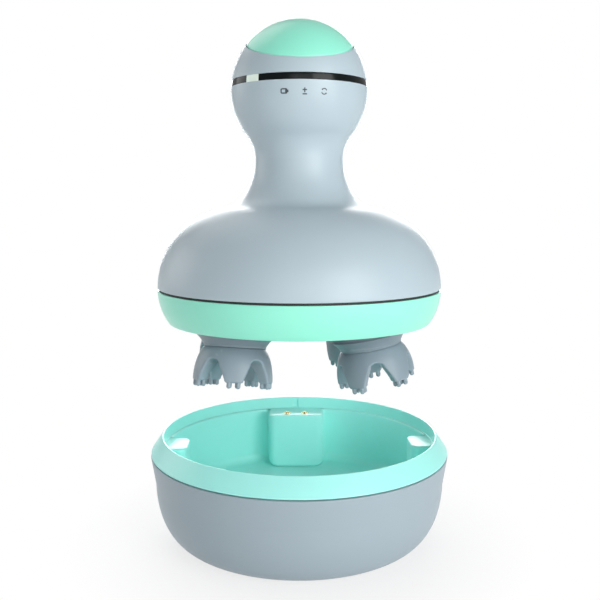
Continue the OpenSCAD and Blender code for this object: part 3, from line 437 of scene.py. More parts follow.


# Plastics and rubbers differ only in their values
# Each look's edge colour is the paler tone of its convex edges, as wear and as painted highlight
mouldedLooks = {
    # grey_shell and cradle_grey are one grey plastic: the bell's grey is paler as painted light, and the
    # cradle's darker as painted shade
    "grey_shell": {"color": (0.455, 0.555, 0.61), "wornHighlightEdgeColor": (0.54, 0.63, 0.68),
                   "rough": 0.4, "grain": 2600, "depth": 0.006},
    "cradle_grey": {"color": (0.355, 0.435, 0.485), "wornHighlightEdgeColor": (0.46, 0.55, 0.6),
                    "rough": 0.44, "grain": 2600, "depth": 0.007},
    "teal_trim": {"color": (0.31, 0.89, 0.69), "wornHighlightEdgeColor": (0.5, 0.95, 0.88),
                  "rough": 0.34, "grain": 2200, "depth": 0.002, "coat": 0.1},
    # teal_bowl is the ring's teal made paler, as painted light that brightens the shaded inside of the bowl
    "teal_bowl": {"color": (0.42, 0.97, 0.9), "wornHighlightEdgeColor": (0.58, 0.97, 0.93),
                  "rough": 0.36, "grain": 2400, "depth": 0.003, "coat": 0.05},
    "claw_rubber": {"color": (0.24, 0.31, 0.36), "wornHighlightEdgeColor": (0.36, 0.43, 0.48),
                    "rough": 0.42, "grain": 3000, "depth": 0.005},
    "collar_rubber": {"color": (0.2, 0.26, 0.3), "wornHighlightEdgeColor": (0.33, 0.39, 0.43),
                      "rough": 0.45, "grain": 3000, "depth": 0.005},
    "band_black": {"color": (0.004, 0.006, 0.006), "wornHighlightEdgeColor": (0.02, 0.025, 0.025),
                   "rough": 0.18, "grain": 500, "depth": 0.0006, "specular": 0.18},
    "gear_nylon": {"color": (0.72, 0.68, 0.58), "wornHighlightEdgeColor": (0.82, 0.79, 0.72),
                   "rough": 0.45, "grain": 1800, "depth": 0.006},
    "frame_plastic": {"color": (0.045, 0.06, 0.07), "wornHighlightEdgeColor": (0.11, 0.13, 0.145),
                      "rough": 0.5, "grain": 1900, "depth": 0.01},
    "black_plastic": {"color": (0.012, 0.012, 0.013), "wornHighlightEdgeColor": (0.05, 0.05, 0.052),
                      "rough": 0.42, "grain": 2000, "depth": 0.008},
    "black_rubber": {"color": (0.014, 0.015, 0.016), "wornHighlightEdgeColor": (0.05, 0.05, 0.05),
                     "rough": 0.7, "grain": 1500, "depth": 0.012},
    "cell_sleeve": {"color": (0.02, 0.09, 0.36), "wornHighlightEdgeColor": (0.08, 0.2, 0.5),
                    "rough": 0.22, "grain": 400, "depth": 0.01, "coat": 0.4},
}
# edge is how far convex edges pale, as wear and as painted highlight
mouldedWearAndEdgeHighlight = {"drift": 0.06, "edge": 0.35, "marks": 0.2, "waviness": 0.5, "coatRough": 0.06, "specular": 0.5}


def mouldedFinish(name, look):
    material, nodes = newFinish(name)
    grain = addGroup(nodes, mouldGrain, {"Grain Scale": look["grain"], "Waviness": mouldedWearAndEdgeHighlight["waviness"]})
    finishShader(nodes, {
        "Base Color": toneOf(nodes, look, mouldedWearAndEdgeHighlight["drift"], mouldedWearAndEdgeHighlight["edge"]),
        "Roughness": marksOf(nodes, look["rough"], mouldedWearAndEdgeHighlight["marks"] * look["rough"]),
        "Normal": bumpFrom(nodes, grain["Height"], look["depth"]),
        "Coat Weight": look.get("coat", 0),
        "Coat Roughness": mouldedWearAndEdgeHighlight["coatRough"],
        "Specular IOR Level": look.get("specular", mouldedWearAndEdgeHighlight["specular"])})
    return material


metalLooks = {
    "steel": {"color": (0.55, 0.56, 0.58), "wornHighlightEdgeColor": (0.775, 0.78, 0.79), "rough": 0.28, "lines": 900},
    "brass": {"color": (0.83, 0.58, 0.22), "wornHighlightEdgeColor": (0.915, 0.79, 0.61), "rough": 0.2, "lines": 1400},
}
# edge is how far convex metal edges pale, as wear and as painted highlight
metalWearAndEdgeHighlight = {"drift": 0.12, "edge": 0.4, "streak": 0.18, "depth": 0.004}


def metalFinish(name, look):
    material, nodes = newFinish(name)
    lines = addGroup(nodes, turnedLines, {"Line Scale": look["lines"]})
    spread = combine(nodes, "MULTIPLY", lines["Streak"], metalWearAndEdgeHighlight["streak"])
    finishShader(nodes, {
        "Base Color": toneOf(nodes, look, metalWearAndEdgeHighlight["drift"], metalWearAndEdgeHighlight["edge"]),
        "Roughness": combine(nodes, "ADD", spread, look["rough"] - metalWearAndEdgeHighlight["streak"] / 2),
        "Normal": bumpFrom(nodes, lines["Height"], metalWearAndEdgeHighlight["depth"]),
        "Metallic": 1})
    return material


boardLook = {"mask": (0.012, 0.13, 0.055), "copper": (0.03, 0.22, 0.1), "pitch": 420, "trackWidth": 0.09,
             "depth": 0.03, "rough": 0.3, "marks": 0.1}


# Solder mask with paler tracks under it
def boardFinish():
    material, nodes = newFinish("board")
    cells = addNode(nodes, "TexVoronoi", {
        "Scale": boardLook["pitch"], "Vector": addNode(nodes, "TexCoord").outputs["Object"]},
        feature="DISTANCE_TO_EDGE")
    track = combine(nodes, "LESS_THAN", cells.outputs["Distance"], boardLook["trackWidth"])
    finishShader(nodes, {
        "Base Color": blendColours(nodes, track, boardLook["mask"] + (1,), boardLook["copper"] + (1,)),
        "Roughness": marksOf(nodes, boardLook["rough"], boardLook["marks"]),
        "Normal": bumpFrom(nodes, track, boardLook["depth"])})
    return material


windowLook = {"glow": (0.8, 0.95, 0.84), "dim": 0.8, "strength": 0.3, "color": (0.6, 0.68, 0.62),
              "cloudScale": 700, "rough": 0.35, "marks": 0.1}


# Frosted window lit from behind, a little uneven
def windowFinish():
    material, nodes = newFinish("lit_window")
    cloud = noise(nodes, addNode(nodes, "TexCoord").outputs["Object"], windowLook["cloudScale"])
    dim = tuple(windowLook["dim"] * c for c in windowLook["glow"]) + (1,)
    finishShader(nodes, {
        "Emission Color": blendColours(nodes, cloud, dim, windowLook["glow"] + (1,)),
        "Emission Strength": windowLook["strength"],
        "Base Color": windowLook["color"] + (1,),
        "Roughness": marksOf(nodes, windowLook["rough"], windowLook["marks"])})
    return material


# The ink's edge colour pales its convex edges, as wear and as painted highlight
inkLook = {"color": (0.03, 0.04, 0.05), "wornHighlightEdgeColor": (0.12, 0.14, 0.15), "rough": 0.5, "drift": 0.5,
           "edge": 0.2, "grain": 3000, "waviness": 0.1, "depth": 0.004}


# Pad-printed ink, thin in places
def inkFinish():
    material, nodes = newFinish("ink")
    grain = addGroup(nodes, mouldGrain, {"Grain Scale": inkLook["grain"], "Waviness": inkLook["waviness"]})
    finishShader(nodes, {
        "Base Color": toneOf(nodes, inkLook, inkLook["drift"], inkLook["edge"]),
        "Roughness": inkLook["rough"],
        "Normal": bumpFrom(nodes, grain["Height"], inkLook["depth"])})
    return material


for slotName, look in mouldedLooks.items():
    finish[slotName] = mouldedFinish(slotName, look)
for slotName, look in metalLooks.items():
    finish[slotName] = metalFinish(slotName, look)
finish["board"] = boardFinish()
finish["lit_window"] = windowFinish()
ink = inkFinish()
for node, part in frame["nodes"].items():
    part.data.materials.clear()
    part.data.materials.append(finish[slotOf[node]])
print("finishes made")


# ---- massager: bell, neck and ball ----

bell = {
    "radius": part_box("main_housing")[1].x / mm,
    "widestHeight": 12.3,
    "shoulderRound": 30.5,
    "rootRound": 10,
    "flareRound": 21,
    "neckRadius": 16.5,
    "neckLap": 2.2,
    "neckLength": 1,
    "ballRadius": 25.3,
    "throatHeight": 24.7,
    "wall": 2.2,
    "seamTop": 12.8,
    "seamDepth": 0.6,
    "spigotLow": 7.3,
    "edge": 0.35,
    "spigotWall": 1.8,
    "shelf": 4,
}
spigotRadius = bell["radius"] - bell["seamDepth"] - bell["wall"]


def heading(start, end):
    return math.degrees(math.atan2(end[1] - start[1], end[0] - start[0]))


# The crossing of two circles that lies to the left of the way from the first centre to the second
def crossing(first, firstRadius, second, secondRadius):
    way = Vector(second) - Vector(first)
    gap = way.length
    along = (firstRadius ** 2 - secondRadius ** 2 + gap ** 2) / (2 * gap)
    side = math.sqrt(firstRadius ** 2 - along ** 2)
    way.normalize()
    return tuple(Vector(first) + way * along + Vector((-way.y, way.x)) * side)


shoulderCentre = (bell["radius"] - bell["shoulderRound"], bell["widestHeight"])
flareX = bell["neckRadius"] + bell["flareRound"]
neckLow = bell["widestHeight"] + math.sqrt(
    (bell["shoulderRound"] + bell["flareRound"] - bell["neckLap"]) ** 2 - (flareX - shoulderCentre[0]) ** 2)
flareCentre = (flareX, neckLow)
rootCentre = crossing(shoulderCentre, bell["shoulderRound"] + bell["rootRound"],
                      flareCentre, bell["flareRound"] - bell["rootRound"])
neckHigh = neckLow + bell["neckLength"]
ballHeight = neckHigh + bell["throatHeight"]
ballMiddle = (0, ballHeight)
throatRound = ((bell["neckRadius"] ** 2 + bell["throatHeight"] ** 2 - bell["ballRadius"] ** 2)
               / (2 * (bell["ballRadius"] - bell["neckRadius"])))
throatCentre = (bell["neckRadius"] + throatRound, neckHigh)
band = {"up": 1.9, "height": 2.4, "inset": 0.15, "lap": 0.02, "windowAzimuth": -42.5, "windowAngle": 13.2,
        "windowGap": 0.1, "depth": 2.4, "windowDepth": 3.8, "edge": 0.15, "windowEdge": 0.12}
bandLow = ballHeight + band["up"] - band["height"] / 2
bandHigh = bandLow + band["height"]


# Side line of bell, neck and ball from height low to height high, moved inwards by inset
def sideLine(inset, low, high, stepAngle=2):
    shoulder = bell["shoulderRound"] - inset
    ball = bell["ballRadius"] - inset
    start = math.degrees(math.asin((low - bell["widestHeight"]) / shoulder))
    stop = math.degrees(math.asin((high - ballHeight) / ball))
    return (
        arcPath(shoulderCentre, shoulder, start, heading(shoulderCentre, rootCentre), stepAngle)
        + arcPath(rootCentre, bell["rootRound"] + inset, heading(rootCentre, shoulderCentre),
                  heading(rootCentre, flareCentre) - 180, stepAngle)
        + arcPath(flareCentre, bell["flareRound"] + inset, heading(flareCentre, rootCentre) + 360, 180,
                  stepAngle)
        + arcPath(throatCentre, throatRound + inset, 180, heading(throatCentre, ballMiddle), stepAngle)
        + arcPath(ballMiddle, ball, heading(ballMiddle, throatCentre), stop, stepAngle))


def makeHousing():
    spigotIn, low, seam = spigotRadius - bell["spigotWall"], bell["spigotLow"], bell["seamTop"]
    outer = sideLine(0, seam + bell["edge"], bandLow)
    outline = (
        [(spigotIn, low), (spigotRadius, low), (spigotRadius, seam)]
        + roundCorners([(spigotRadius, seam), (outer[0][0], seam, bell["edge"]), outer[0]], closed=False)[1:]
        + outer[1:]
        + sideLine(bell["wall"], seam + bell["shelf"], bandLow, 6)[::-1]
        + [(spigotIn, seam + bell["shelf"] / 2)])
    makePiece("bellAndNeck", [spin(outline)], "massager", ["main_housing"], lifted)


ring = {
    "sideRound": 21.5,
    "seam": 12.0,
    "wall": 2,
    "flangeRadius": 47.4,
    "flangeThickness": 3,
    "edge": 0.6,
    "topEdge": 0.3,
    "sideLow": 1,
    "spigotGap": 0.2,
    "ledge": (6.2, 7),
    "sealGap": 0.02,
}
ringCentre = (bell["radius"] - ring["sideRound"], bell["widestHeight"])


def ringSide(height):
    return ringCentre[0] + math.sqrt(ring["sideRound"] ** 2 - (bell["widestHeight"] - height) ** 2)


def makeRing():
    flange, thickness = ring["flangeRadius"], ring["flangeThickness"]
    seam, topEdge = ring["seam"], ring["topEdge"]
    inner = ringSide(thickness) - ring["wall"]
    innerSeam = (spigotRadius + ring["spigotGap"], seam)
    start, stop = (-math.degrees(math.asin((bell["widestHeight"] - height) / ring["sideRound"]))
                   for height in (ring["sideLow"], seam - topEdge))
    side = arcPath(ringCentre, ring["sideRound"], start, stop, 1.5)
    outline = (
        roundCorners([(flange, 0), (ringSide(0), 0, ring["edge"]), side[0]], closed=False)
        + side[1:]
        + roundCorners([side[-1], (ringSide(seam), seam, topEdge * 0.8), innerSeam], closed=False)[1:]
        + [(innerSeam[0], ring["ledge"][1]), (inner, ring["ledge"][0]), (inner, thickness),
           (flange, thickness)])
    makePiece("tealRing", [spin(outline)], "massager", ["base_ring"], lifted)
    sealIn, sealOut = spigotRadius + ring["sealGap"], bell["radius"] - bell["seamDepth"]
    seal = [(sealIn, seam), (sealOut, seam), (sealOut, bell["seamTop"]), (sealIn, bell["seamTop"])]
    makePiece("bellGasket", [spin(seal)], "massager", ["bell_seal"], lifted)


button = {
    "tilt": 21,
    "radius": 19,
    "gap": 0.25,
    "thickness": 1.6,
    "skirt": 2.2,
    "edge": 0.4,
    "postRadius": 2.5,
    "postEnd": 13.94,
}
rimDistance = math.sqrt(bell["ballRadius"] ** 2 - button["radius"] ** 2)
buttonPlace = lifted @ Matrix.Translation((0, 0, ballHeight * mm)) @ Matrix.Rotation(
    math.radians(button["tilt"]), 4, "X")


def makeButton():
    ball, radius, edge = bell["ballRadius"], button["radius"], button["edge"]
    inside = ball - button["thickness"]
    reach = math.degrees(math.acos((radius - edge) / ball))
    inReach = math.degrees(math.acos((radius - button["thickness"]) / inside))
    postReach = math.degrees(math.acos(button["postRadius"] / inside))
    cap = arcPath((0, 0), ball, 90, reach, 1.5)
    outline = (
        [(0, ball)] + cap[1:]
        + roundCorners([cap[-1], (radius, rimDistance, edge), (radius, rimDistance - button["skirt"])],
                       closed=False)[1:]
        + [(radius - button["thickness"], rimDistance - button["skirt"])]
        + arcPath((0, 0), inside, inReach, postReach, 4)
        + [(button["postRadius"], button["postEnd"]), (0, button["postEnd"])])
    makePiece("powerCap", [spin(outline, 200)], "button", ["power_button"], buttonPlace)


cover = {"wall": 2.2, "edge": 0.3, "columns": 240, "rows": 26, "innerRows": 8}


# The cover runs between two circles: the leaning hole for the button and the level edge at the band
def coverPoint(turn, share, depth, shift):
    radius = bell["ballRadius"] - depth
    hole = math.asin((button["radius"] + button["gap"]) / radius)
    level = math.acos((bandHigh - ballHeight) / radius)
    lean = Matrix.Rotation(math.radians(button["tilt"]), 3, "X")
    flat = Vector((math.cos(turn), math.sin(turn), 0))
    start = lean @ Vector((*(math.sin(hole) * flat.xy), math.cos(hole)))
    end = Vector((*(math.sin(level) * flat.xy), math.cos(level)))
    spread = start.angle(end)
    part = share + shift / (radius * spread)
    way = (math.sin((1 - part) * spread) * start + math.sin(part * spread) * end) / math.sin(spread)
    return tuple(way * radius + Vector((0, 0, ballHeight)))


def makeCover():
    edge, wall = cover["edge"], cover["wall"]
    section = [(0, edge * (1 - math.cos(a)), edge * (1 - math.sin(a))) for a in quarterTurn(4)]
    section += [(k / cover["rows"], 0, 0) for k in range(1, cover["rows"])]
    section += [(1, -edge * (1 - math.sin(a)), edge * (1 - math.cos(a))) for a in quarterTurn(4)]
    section += [(k / cover["innerRows"], 0, wall) for k in range(cover["innerRows"], -1, -1)]
    turns = [2 * math.pi * k / cover["columns"] for k in range(cover["columns"])]
    rings = [[coverPoint(turn, share, depth, shift) for share, shift, depth in section] for turn in turns]
    makePiece("ballCover", [loft(rings, joined=True)], "massager", ["ball_cover"], lifted)


def bandOutline(depth):
    inner = bell["ballRadius"] - depth
    low, high = (math.sqrt(bell["ballRadius"] ** 2 - (z - ballHeight) ** 2) - band["inset"]
                 for z in (bandLow, bandHigh))
    return [(inner, bandLow), (low, bandLow), (high + band["lap"], bandHigh), (inner, bandHigh)]


# Part of a turned outline from azimuth start to azimuth end, counted from the front to the right
def sector(outline, start, end, steps):
    rings = []
    for k in range(steps + 1):
        a = math.radians(start + (end - start) * k / steps)
        rings.append([(r * math.sin(a), -r * math.cos(a), z) for r, z in outline])
    return loft(rings, capped=True)


def makeBand():
    start, turn, gap = band["windowAzimuth"] + band["windowAngle"] / 2, band["windowAngle"], band["windowGap"]
    dark = roundCorners([(*p, band["edge"]) for p in bandOutline(band["depth"])], steps=3)
    darkParts = [sector(dark, start, start + 360 - turn, 220)]
    makePiece("blackBand", darkParts, "massager", ["indicator_ring"], lifted)
    lit = roundCorners([(*p, band["windowEdge"]) for p in bandOutline(band["windowDepth"])], steps=3)
    litParts = [sector(lit, start - turn + gap, start - gap, 12)]
    makePiece("litWindow", litParts, "massager", ["status_lens"], lifted)


makeHousing()
makeRing()
makeButton()
makeCover()
makeBand()
print("massager body made")


# ---- printed symbols ----

symbols = {
    "up": -7.2,
    "line": 0.42,
    "raise": 0.03,
    "root": 0.08,
    "battery": {"azimuth": -13.9, "size": (2.0, 1.4), "corner": 0.3, "knob": (0.15, 0.55), "knobHeight": 0.8,
                "charge": (-0.6, -0.05), "chargeGap": 0.2},
    "level": {"azimuth": 2.3, "size": (1.5, 2.0), "over": 0.1},
    "turning": {"azimuth": 17.8, "radius": 0.95, "line": 0.34, "starts": (20, 200), "sweep": 118,
                "tip": (112, 158), "tipWidths": (0.85, 0.05)},
}


# A point that lies across and up from a symbol's middle, on the ball's surface
def ballPoint(azimuth, across, up, out):
    radius = bell["ballRadius"]
    rise = math.radians(symbols["up"]) + up / radius
    turn = math.radians(azimuth) + across / (radius * math.cos(rise))
    flat = (radius + out) * math.cos(rise)
    return flat * math.sin(turn), -flat * math.cos(turn), ballHeight + (radius + out) * math.sin(rise)


# A printed line along a path of (across, up) points
def inkStroke(azimuth, path, widths, closed=False):
    rings = []
    for i, point in enumerate(path):
        here = Vector(point)
        before = Vector(path[i - 1]) if closed or i else here
        after = Vector(path[(i + 1) % len(path)]) if closed or i < len(path) - 1 else here
        way = (after - before).normalized()
        side = Vector((-way.y, way.x)) * widths[i % len(widths)] / 2
        top, root = symbols["raise"], -symbols["root"]
        rings.append([ballPoint(azimuth, *(here + way), out)
                      for way, out in ((side, top), (-side, top), (-side, root), (side, root))])
    return loft(rings, joined=closed, capped=not closed)


def straight(start, end, steps=4):
    return [tuple(Vector(start).lerp(Vector(end), k / steps)) for k in range(steps + 1)]


def makeSymbols():
    line = [symbols["line"]]
    look = symbols["battery"]
    azimuth, right, top = look["azimuth"], look["size"][0] / 2, look["size"][1] / 2
    corners = [(x * right, y * top, look["corner"]) for x, y in ((-1, -1), (1, -1), (1, 1), (-1, 1))]
    strokes = [inkStroke(azimuth, roundCorners(corners, steps=3), line, closed=True)]
    for span, width in ((look["knob"], look["knobHeight"]), (look["charge"], 2 * top - look["chargeGap"])):
        strokes.append(inkStroke(azimuth, straight(*((right + x, 0) for x in span), 1), [width]))
    look = symbols["level"]
    azimuth, right, tall = look["azimuth"], look["size"][0] / 2, look["size"][1]
    for start, end in (((-right, -tall / 2), (right, -tall / 2)), ((-right, tall / 5), (right, tall / 5)),
                       ((0, -tall / 4), (0, tall / 2 + look["over"]))):
        strokes.append(inkStroke(azimuth, straight(start, end), line))
    look = symbols["turning"]
    for turn in look["starts"]:
        arrow = arcPath((0, 0), look["radius"], turn, turn + look["sweep"], 12)
        strokes.append(inkStroke(look["azimuth"], arrow, [look["line"]]))
        first, last = look["tip"]
        tip = arcPath((0, 0), look["radius"], turn + first, turn + last, last - first)
        strokes.append(inkStroke(look["azimuth"], tip[:2], look["tipWidths"]))
    piece = makePiece("printedSymbols", strokes, "massager", [], lifted, slotName="black_plastic")
    piece.data.materials[0] = ink


makeSymbols()
print("symbols made")


# ---- massage heads ----

heads = {
    "ringRadius": 32.5,
    "azimuths": (45, 135, 225, 315),
    "leans": (136, -116, -20, 82),
    "tilt": 11.5,
    "pivotHeight": 1.5,
}
collar = {
    "ballRadius": 13.4,
    "wall": 1.4,
    "above": 2.5,
    "below": 2.6,
    "skirtRadius": 13.9,
    "skirtDrop": 4,
    "skirtEdge": 0.5,
    "skirtSag": 0.3,
    "lipHeight": 1.1,
    "lipWidth": 0.6,
    "shaftRadius": 2.02,
    "hubRadius": 4.3,
    "hubTop": -2.8,
    "skirtRounds": (0.35, 0.2),
    "lipRounds": (0.12, 0.06),
    "step": 0.2,
    "floorGap": 0.6,
}
claw = {
    "drop": 8.0,
    "jointRadius": 10.7,
    "length": 12.0,
    "tipRadius": 14.0,
    "ovalShare": 1.12,
    "fingers": 5,
    "fingerTurn": 24,
    "fingerWidth": 6.9,
    "fingerFlare": 2.1,
    "thickness": 3.8,
    "crown": 4.2,
    "archRise": 1.8,
    "roof": 3.0,
    "edge": 0.7,
    "topEdge": (0.3, 0.09),
    "corner": 1.1,
    "boreDepth": 2.8,
    "nubRadius": 0.8,
    "nubLength": 1.9,
    "nubGap": 2.9,
    "nubEdge": 0.15,
    "nubRoot": 0.5,
    "nubTip": 0.9,
}
jointZ = -claw["drop"]
tipZ = jointZ - claw["length"]


def headPlace(i):
    a, radius = math.radians(heads["azimuths"][i]), heads["ringRadius"]
    pivot = Vector((radius * math.cos(a), radius * math.sin(a), heads["pivotHeight"]))
    lean = Matrix.Rotation(math.radians(heads["leans"][i]), 4, "Z")
    tilt = Matrix.Rotation(math.radians(-heads["tilt"]), 4, "X")
    return lifted @ Matrix.Translation(pivot * mm) @ lean @ tilt


def collarParts():
    out, joint = collar["ballRadius"], claw["jointRadius"]
    inner = out - collar["wall"]
    lipTop = jointZ + collar["lipHeight"]
    outTop = math.degrees(math.asin(collar["above"] / out))
    outLow = math.degrees(math.asin(collar["below"] / out))
    inTop = math.degrees(math.asin(collar["above"] / inner))
    inLow = math.degrees(math.asin(collar["below"] / inner))
    skirt, drop, edge = collar["skirtRadius"], collar["skirtDrop"], collar["skirtEdge"]
    lip, step = joint + collar["lipWidth"], collar["step"]
    hub, hubTop, shaft = collar["hubRadius"], collar["hubTop"], collar["shaftRadius"]
    upper, lower = collar["skirtRounds"]
    lipRound, stepRound = collar["lipRounds"]
    # The skirt's underside sags inwards from its edge to the lip
    skirtEnd, lipEnd = Vector((skirt, -drop)), Vector((lip, lipTop))
    middle = (skirtEnd + lipEnd) / 2 - Vector((collar["skirtSag"], 0))
    pull = 2 * middle - (skirtEnd + lipEnd) / 2
    under = [tuple((1 - t) ** 2 * skirtEnd + 2 * t * (1 - t) * pull + t * t * lipEnd)
             for t in (k / 8 for k in range(1, 8))]
    outline = (
        roundCorners(
            [*arcPath((0, 0), out, outTop, -outLow), (skirt - edge, edge - drop, upper),
             (skirt, -drop, lower), *under, (lip, lipTop, lipRound), (lip - step, lipTop - step, stepRound),
             (joint + step, jointZ, lipRound), (shaft, jointZ), (shaft, hubTop), (hub, hubTop),
             (hub, lipTop), (joint - collar["floorGap"], lipTop)],
            closed=False)
        + arcPath((0, 0), inner, -inLow, inTop))
    return [spin(outline, 120)]


def clawOuter(z):
    oval = claw["length"] * claw["ovalShare"]
    bulge = (claw["tipRadius"] - claw["jointRadius"]) / (1 - math.sqrt(1 - (claw["length"] / oval) ** 2))
    return claw["tipRadius"] - bulge * (1 - math.sqrt(1 - ((z - tipZ) / oval) ** 2))


def clawInner(z):
    dome = claw["length"] - claw["roof"]
    return (claw["tipRadius"] - claw["thickness"]) * math.sqrt(max(0, 1 - ((z - tipZ) / dome) ** 2))


# Edge of the fingers and arches as (angle, height) points, from a finger's middle to the next one's
def fingerEdge():
    half = claw["fingerWidth"] / 2
    corner = claw["corner"]
    spring = jointZ - claw["crown"] - claw["archRise"]
    gapAngle = 180 / claw["fingers"]

    def spot(width, z):
        return math.degrees(math.asin(width / clawOuter(z))), z

    waist = half + claw["fingerFlare"]
    waistAngle = spot(waist, spring)[0]
    path = [spot((half - corner) * k / 5, tipZ) for k in range(5)]
    path += [spot(half - corner + corner * math.sin(a), tipZ + corner - corner * math.cos(a))
             for a in quarterTurn(5)]
    low = tipZ + corner
    path += [spot(half + (waist - half) * k / 8, low + (spring - low) * k / 8) for k in range(1, 9)]
    path += [(gapAngle - (gapAngle - waistAngle) * math.cos(a), spring + claw["archRise"] * math.sin(a))
             for a in quarterTurn(12)[1:]]
    return path + [(2 * gapAngle - a, z) for a, z in reversed(path[1:-1])]


def clawParts():
    one = fingerEdge()
    pitch = 360 / claw["fingers"]
    middle = claw["tipRadius"]
    border = [(angle + pitch * k, z) for k in range(claw["fingers"]) for angle, z in one]
    total = len(border)

    # Border moved into the claw by a distance
    def inward(distance):
        moved = []
        for j, (angle, z) in enumerate(border):
            before, after = border[j - 1], border[(j + 1) % total]
            turn = math.radians((after[0] - before[0]) % 360) * middle
            rise = after[1] - before[1]
            size = math.hypot(turn, rise)
            moved.append((angle - math.degrees(distance * rise / size / middle), z + distance * turn / size))
        return moved

    # The shorter way round, in degrees
    def shortTurn(angle):
        return (angle + 180) % 360 - 180

    def spot(angle, radius, z):
        a = math.radians(angle)
        return radius * math.sin(a), -radius * math.cos(a), z

    edge, joint, shaft = claw["edge"], claw["jointRadius"], collar["shaftRadius"]
    topEdge, bevel = claw["topEdge"]
    even = [360 / total * j for j in range(total)]
    bore = jointZ - claw["boreDepth"]
    top = [(0, bore), (shaft, bore), (shaft, jointZ), (joint - topEdge, jointZ),
           (joint - bevel, jointZ - bevel)]
    rings = [[spot(angle, r, z) for angle in even] for r, z in top]
    inset = inward(edge)
    start, rows = jointZ - topEdge, 14
    for k in range(rows + 1):
        ring = []
        for own, (angle, z) in zip(even, inset):
            height = start + (z - start) * k / rows
            ring.append(spot(own + shortTurn(angle - own) * k / rows, clawOuter(height), height))
        rings.append(ring)
    rounds = [(a, clawOuter, -edge) for a in quarterTurn(4)[1:]]
    rounds += [(a, clawInner, edge) for a in quarterTurn(4)[-2::-1]]
    for a, wall, shift in rounds:
        rings.append([spot(angle, wall(z) + shift * (1 - math.cos(a)), z)
                      for angle, z in inward(edge * (1 - math.sin(a)))])
    dome, inside, rows = claw["length"] - claw["roof"], claw["tipRadius"] - claw["thickness"], 10
    for k in range(1, rows + 1):
        ring = []
        for own, (angle, z) in zip(even, inset):
            low = math.asin(min(1, (z - tipZ) / dome))
            up = low + (math.pi / 2 - low) * k / rows
            ring.append(spot(angle + shortTurn(own - angle) * k / rows, inside * math.cos(up),
                             tipZ + dome * math.sin(up)))
        rings.append(ring)
    return [loft(rings)] + nubParts()


def nubParts():
    radius, end, root = claw["nubRadius"], tipZ - claw["nubLength"], tipZ + claw["nubRoot"]
    outline = [(0, root), (radius, root)] + [
        (radius * math.cos(a), end + radius * claw["nubTip"] * (1 - math.sin(a))) for a in quarterTurn(5)]
    middle = claw["tipRadius"] - claw["thickness"] / 2
    row = claw["thickness"] / 2 - radius - claw["nubEdge"]
    swing = math.asin(claw["nubGap"] / 2 / middle)
    nub = spin(outline, 20)
    parts = []
    for k in range(claw["fingers"]):
        for side in (-1, 1):
            for place in (middle - row, middle + row):
                a = math.radians(360 / claw["fingers"] * k) + side * swing
                parts.append(shifted(nub, place * math.sin(a), -place * math.cos(a)))
    return parts


fingerTurn = Matrix.Rotation(math.radians(claw["fingerTurn"]), 4, "Z")
for i in range(4):
    number = str(i + 1)
    makePiece("softCollar" + number, collarParts(), "head_" + number, ["head_collar_" + number], headPlace(i))
    makePiece("claw" + number, clawParts(), "head_" + number, ["massage_claw_" + number],
              headPlace(i) @ fingerTurn)
print("heads made")


# ---- cradle ----

cradle = {
    "rimHeight": 40,
    "dockHeight": 35.2,
    "recessRadius": 52.0,
    "crestRadius": 52.5,
    "radius": 56.9,
    "flangeInset": 0.2,
    "rimSlope": 6,
    "floorHeight": 11.95,
    "bowlRadius": 51.0,
    "bowlWall": 1.4,
    "floorFillet": 3.4,
    "flangeLow": 33.6,
    "spigotRadius": 54.85,
    "spigotLow": 30.7,
    "topEdge": 0.7,
}
# Half width and face distance of the supports at the back, right, front and left
supports = {
    "shapes": ((12, 38.48), (7.5, 43.0), (8, 40.0), (7.5, 43.0)),
    "corner": 3,
    "fillet": 1.2,
    "footRound": 3.2,
    "faceRound": 1.2,
    "notchHalf": 1.2,
    "notchDepth": 0.9,
    "notchSpan": (0.45, 3.65),
    "faceShare": 0.45,
    "cornerShare": 0.6,
    "sideShare": 0.92,
}
notchTurn = math.degrees(supports["notchHalf"] / cradle["recessRadius"])


# Plan of a quarter of the bowl's inside with its support in the middle, as (u, v, azimuth) columns.
# The azimuth says where the same column meets the round rim.
def quarterPlan(shape, wallIn, sideIn, faceIn):
    halfWidth, face = shape
    rim = cradle["bowlRadius"]
    width, front = halfWidth + sideIn, face - faceIn
    corner = max(0.3, supports["corner"] + min(sideIn, faceIn) * 0.5)
    fillet = max(0.2, supports["fillet"] - min(0.9, max(0, wallIn)))
    radius = rim - wallIn
    filletV = math.sqrt((radius - fillet) ** 2 - (width + fillet) ** 2)
    meet = math.degrees(math.atan2(width + fillet, filletV))
    full = math.degrees(math.atan2(halfWidth + supports["fillet"], rim - 3))
    faceShare, cornerShare, sideShare = supports["faceShare"], supports["cornerShare"], supports["sideShare"]
    faceEnd = faceShare * full
    half = [((width - corner) * azimuth / faceEnd, front, azimuth) for azimuth in (
        *(share * notchTurn for share in (0, 0.5, 0.9, 1, 1.12, 1.6)),
        *(share * faceEnd for share in (0.45, 0.62, 0.8, 1)))]
    for k, a in list(enumerate(quarterTurn(8)))[1:]:
        half.append((width - corner + corner * math.sin(a), front + corner - corner * math.cos(a),
                     full * (faceShare + (cornerShare - faceShare) * k / 8)))
    for k in range(1, 7):
        half.append((width, front + corner + (filletV - front - corner) * k / 6,
                     full * (cornerShare + (sideShare - cornerShare) * k / 6)))
    for k in range(1, 6):
        a = math.radians(180 - (90 + meet) * k / 5)
        half.append((width + fillet + fillet * math.cos(a), filletV + fillet * math.sin(a),
                     full * (sideShare + (1 - sideShare) * k / 5)))
    for k in range(1, 17):
        a = math.radians(meet + (45 - meet) * k / 16)
        half.append((radius * math.sin(a), radius * math.cos(a), full + (45 - full) * k / 16))
    return [(-u, v, -a) for u, v, a in reversed(half[1:])] + half[:-1]


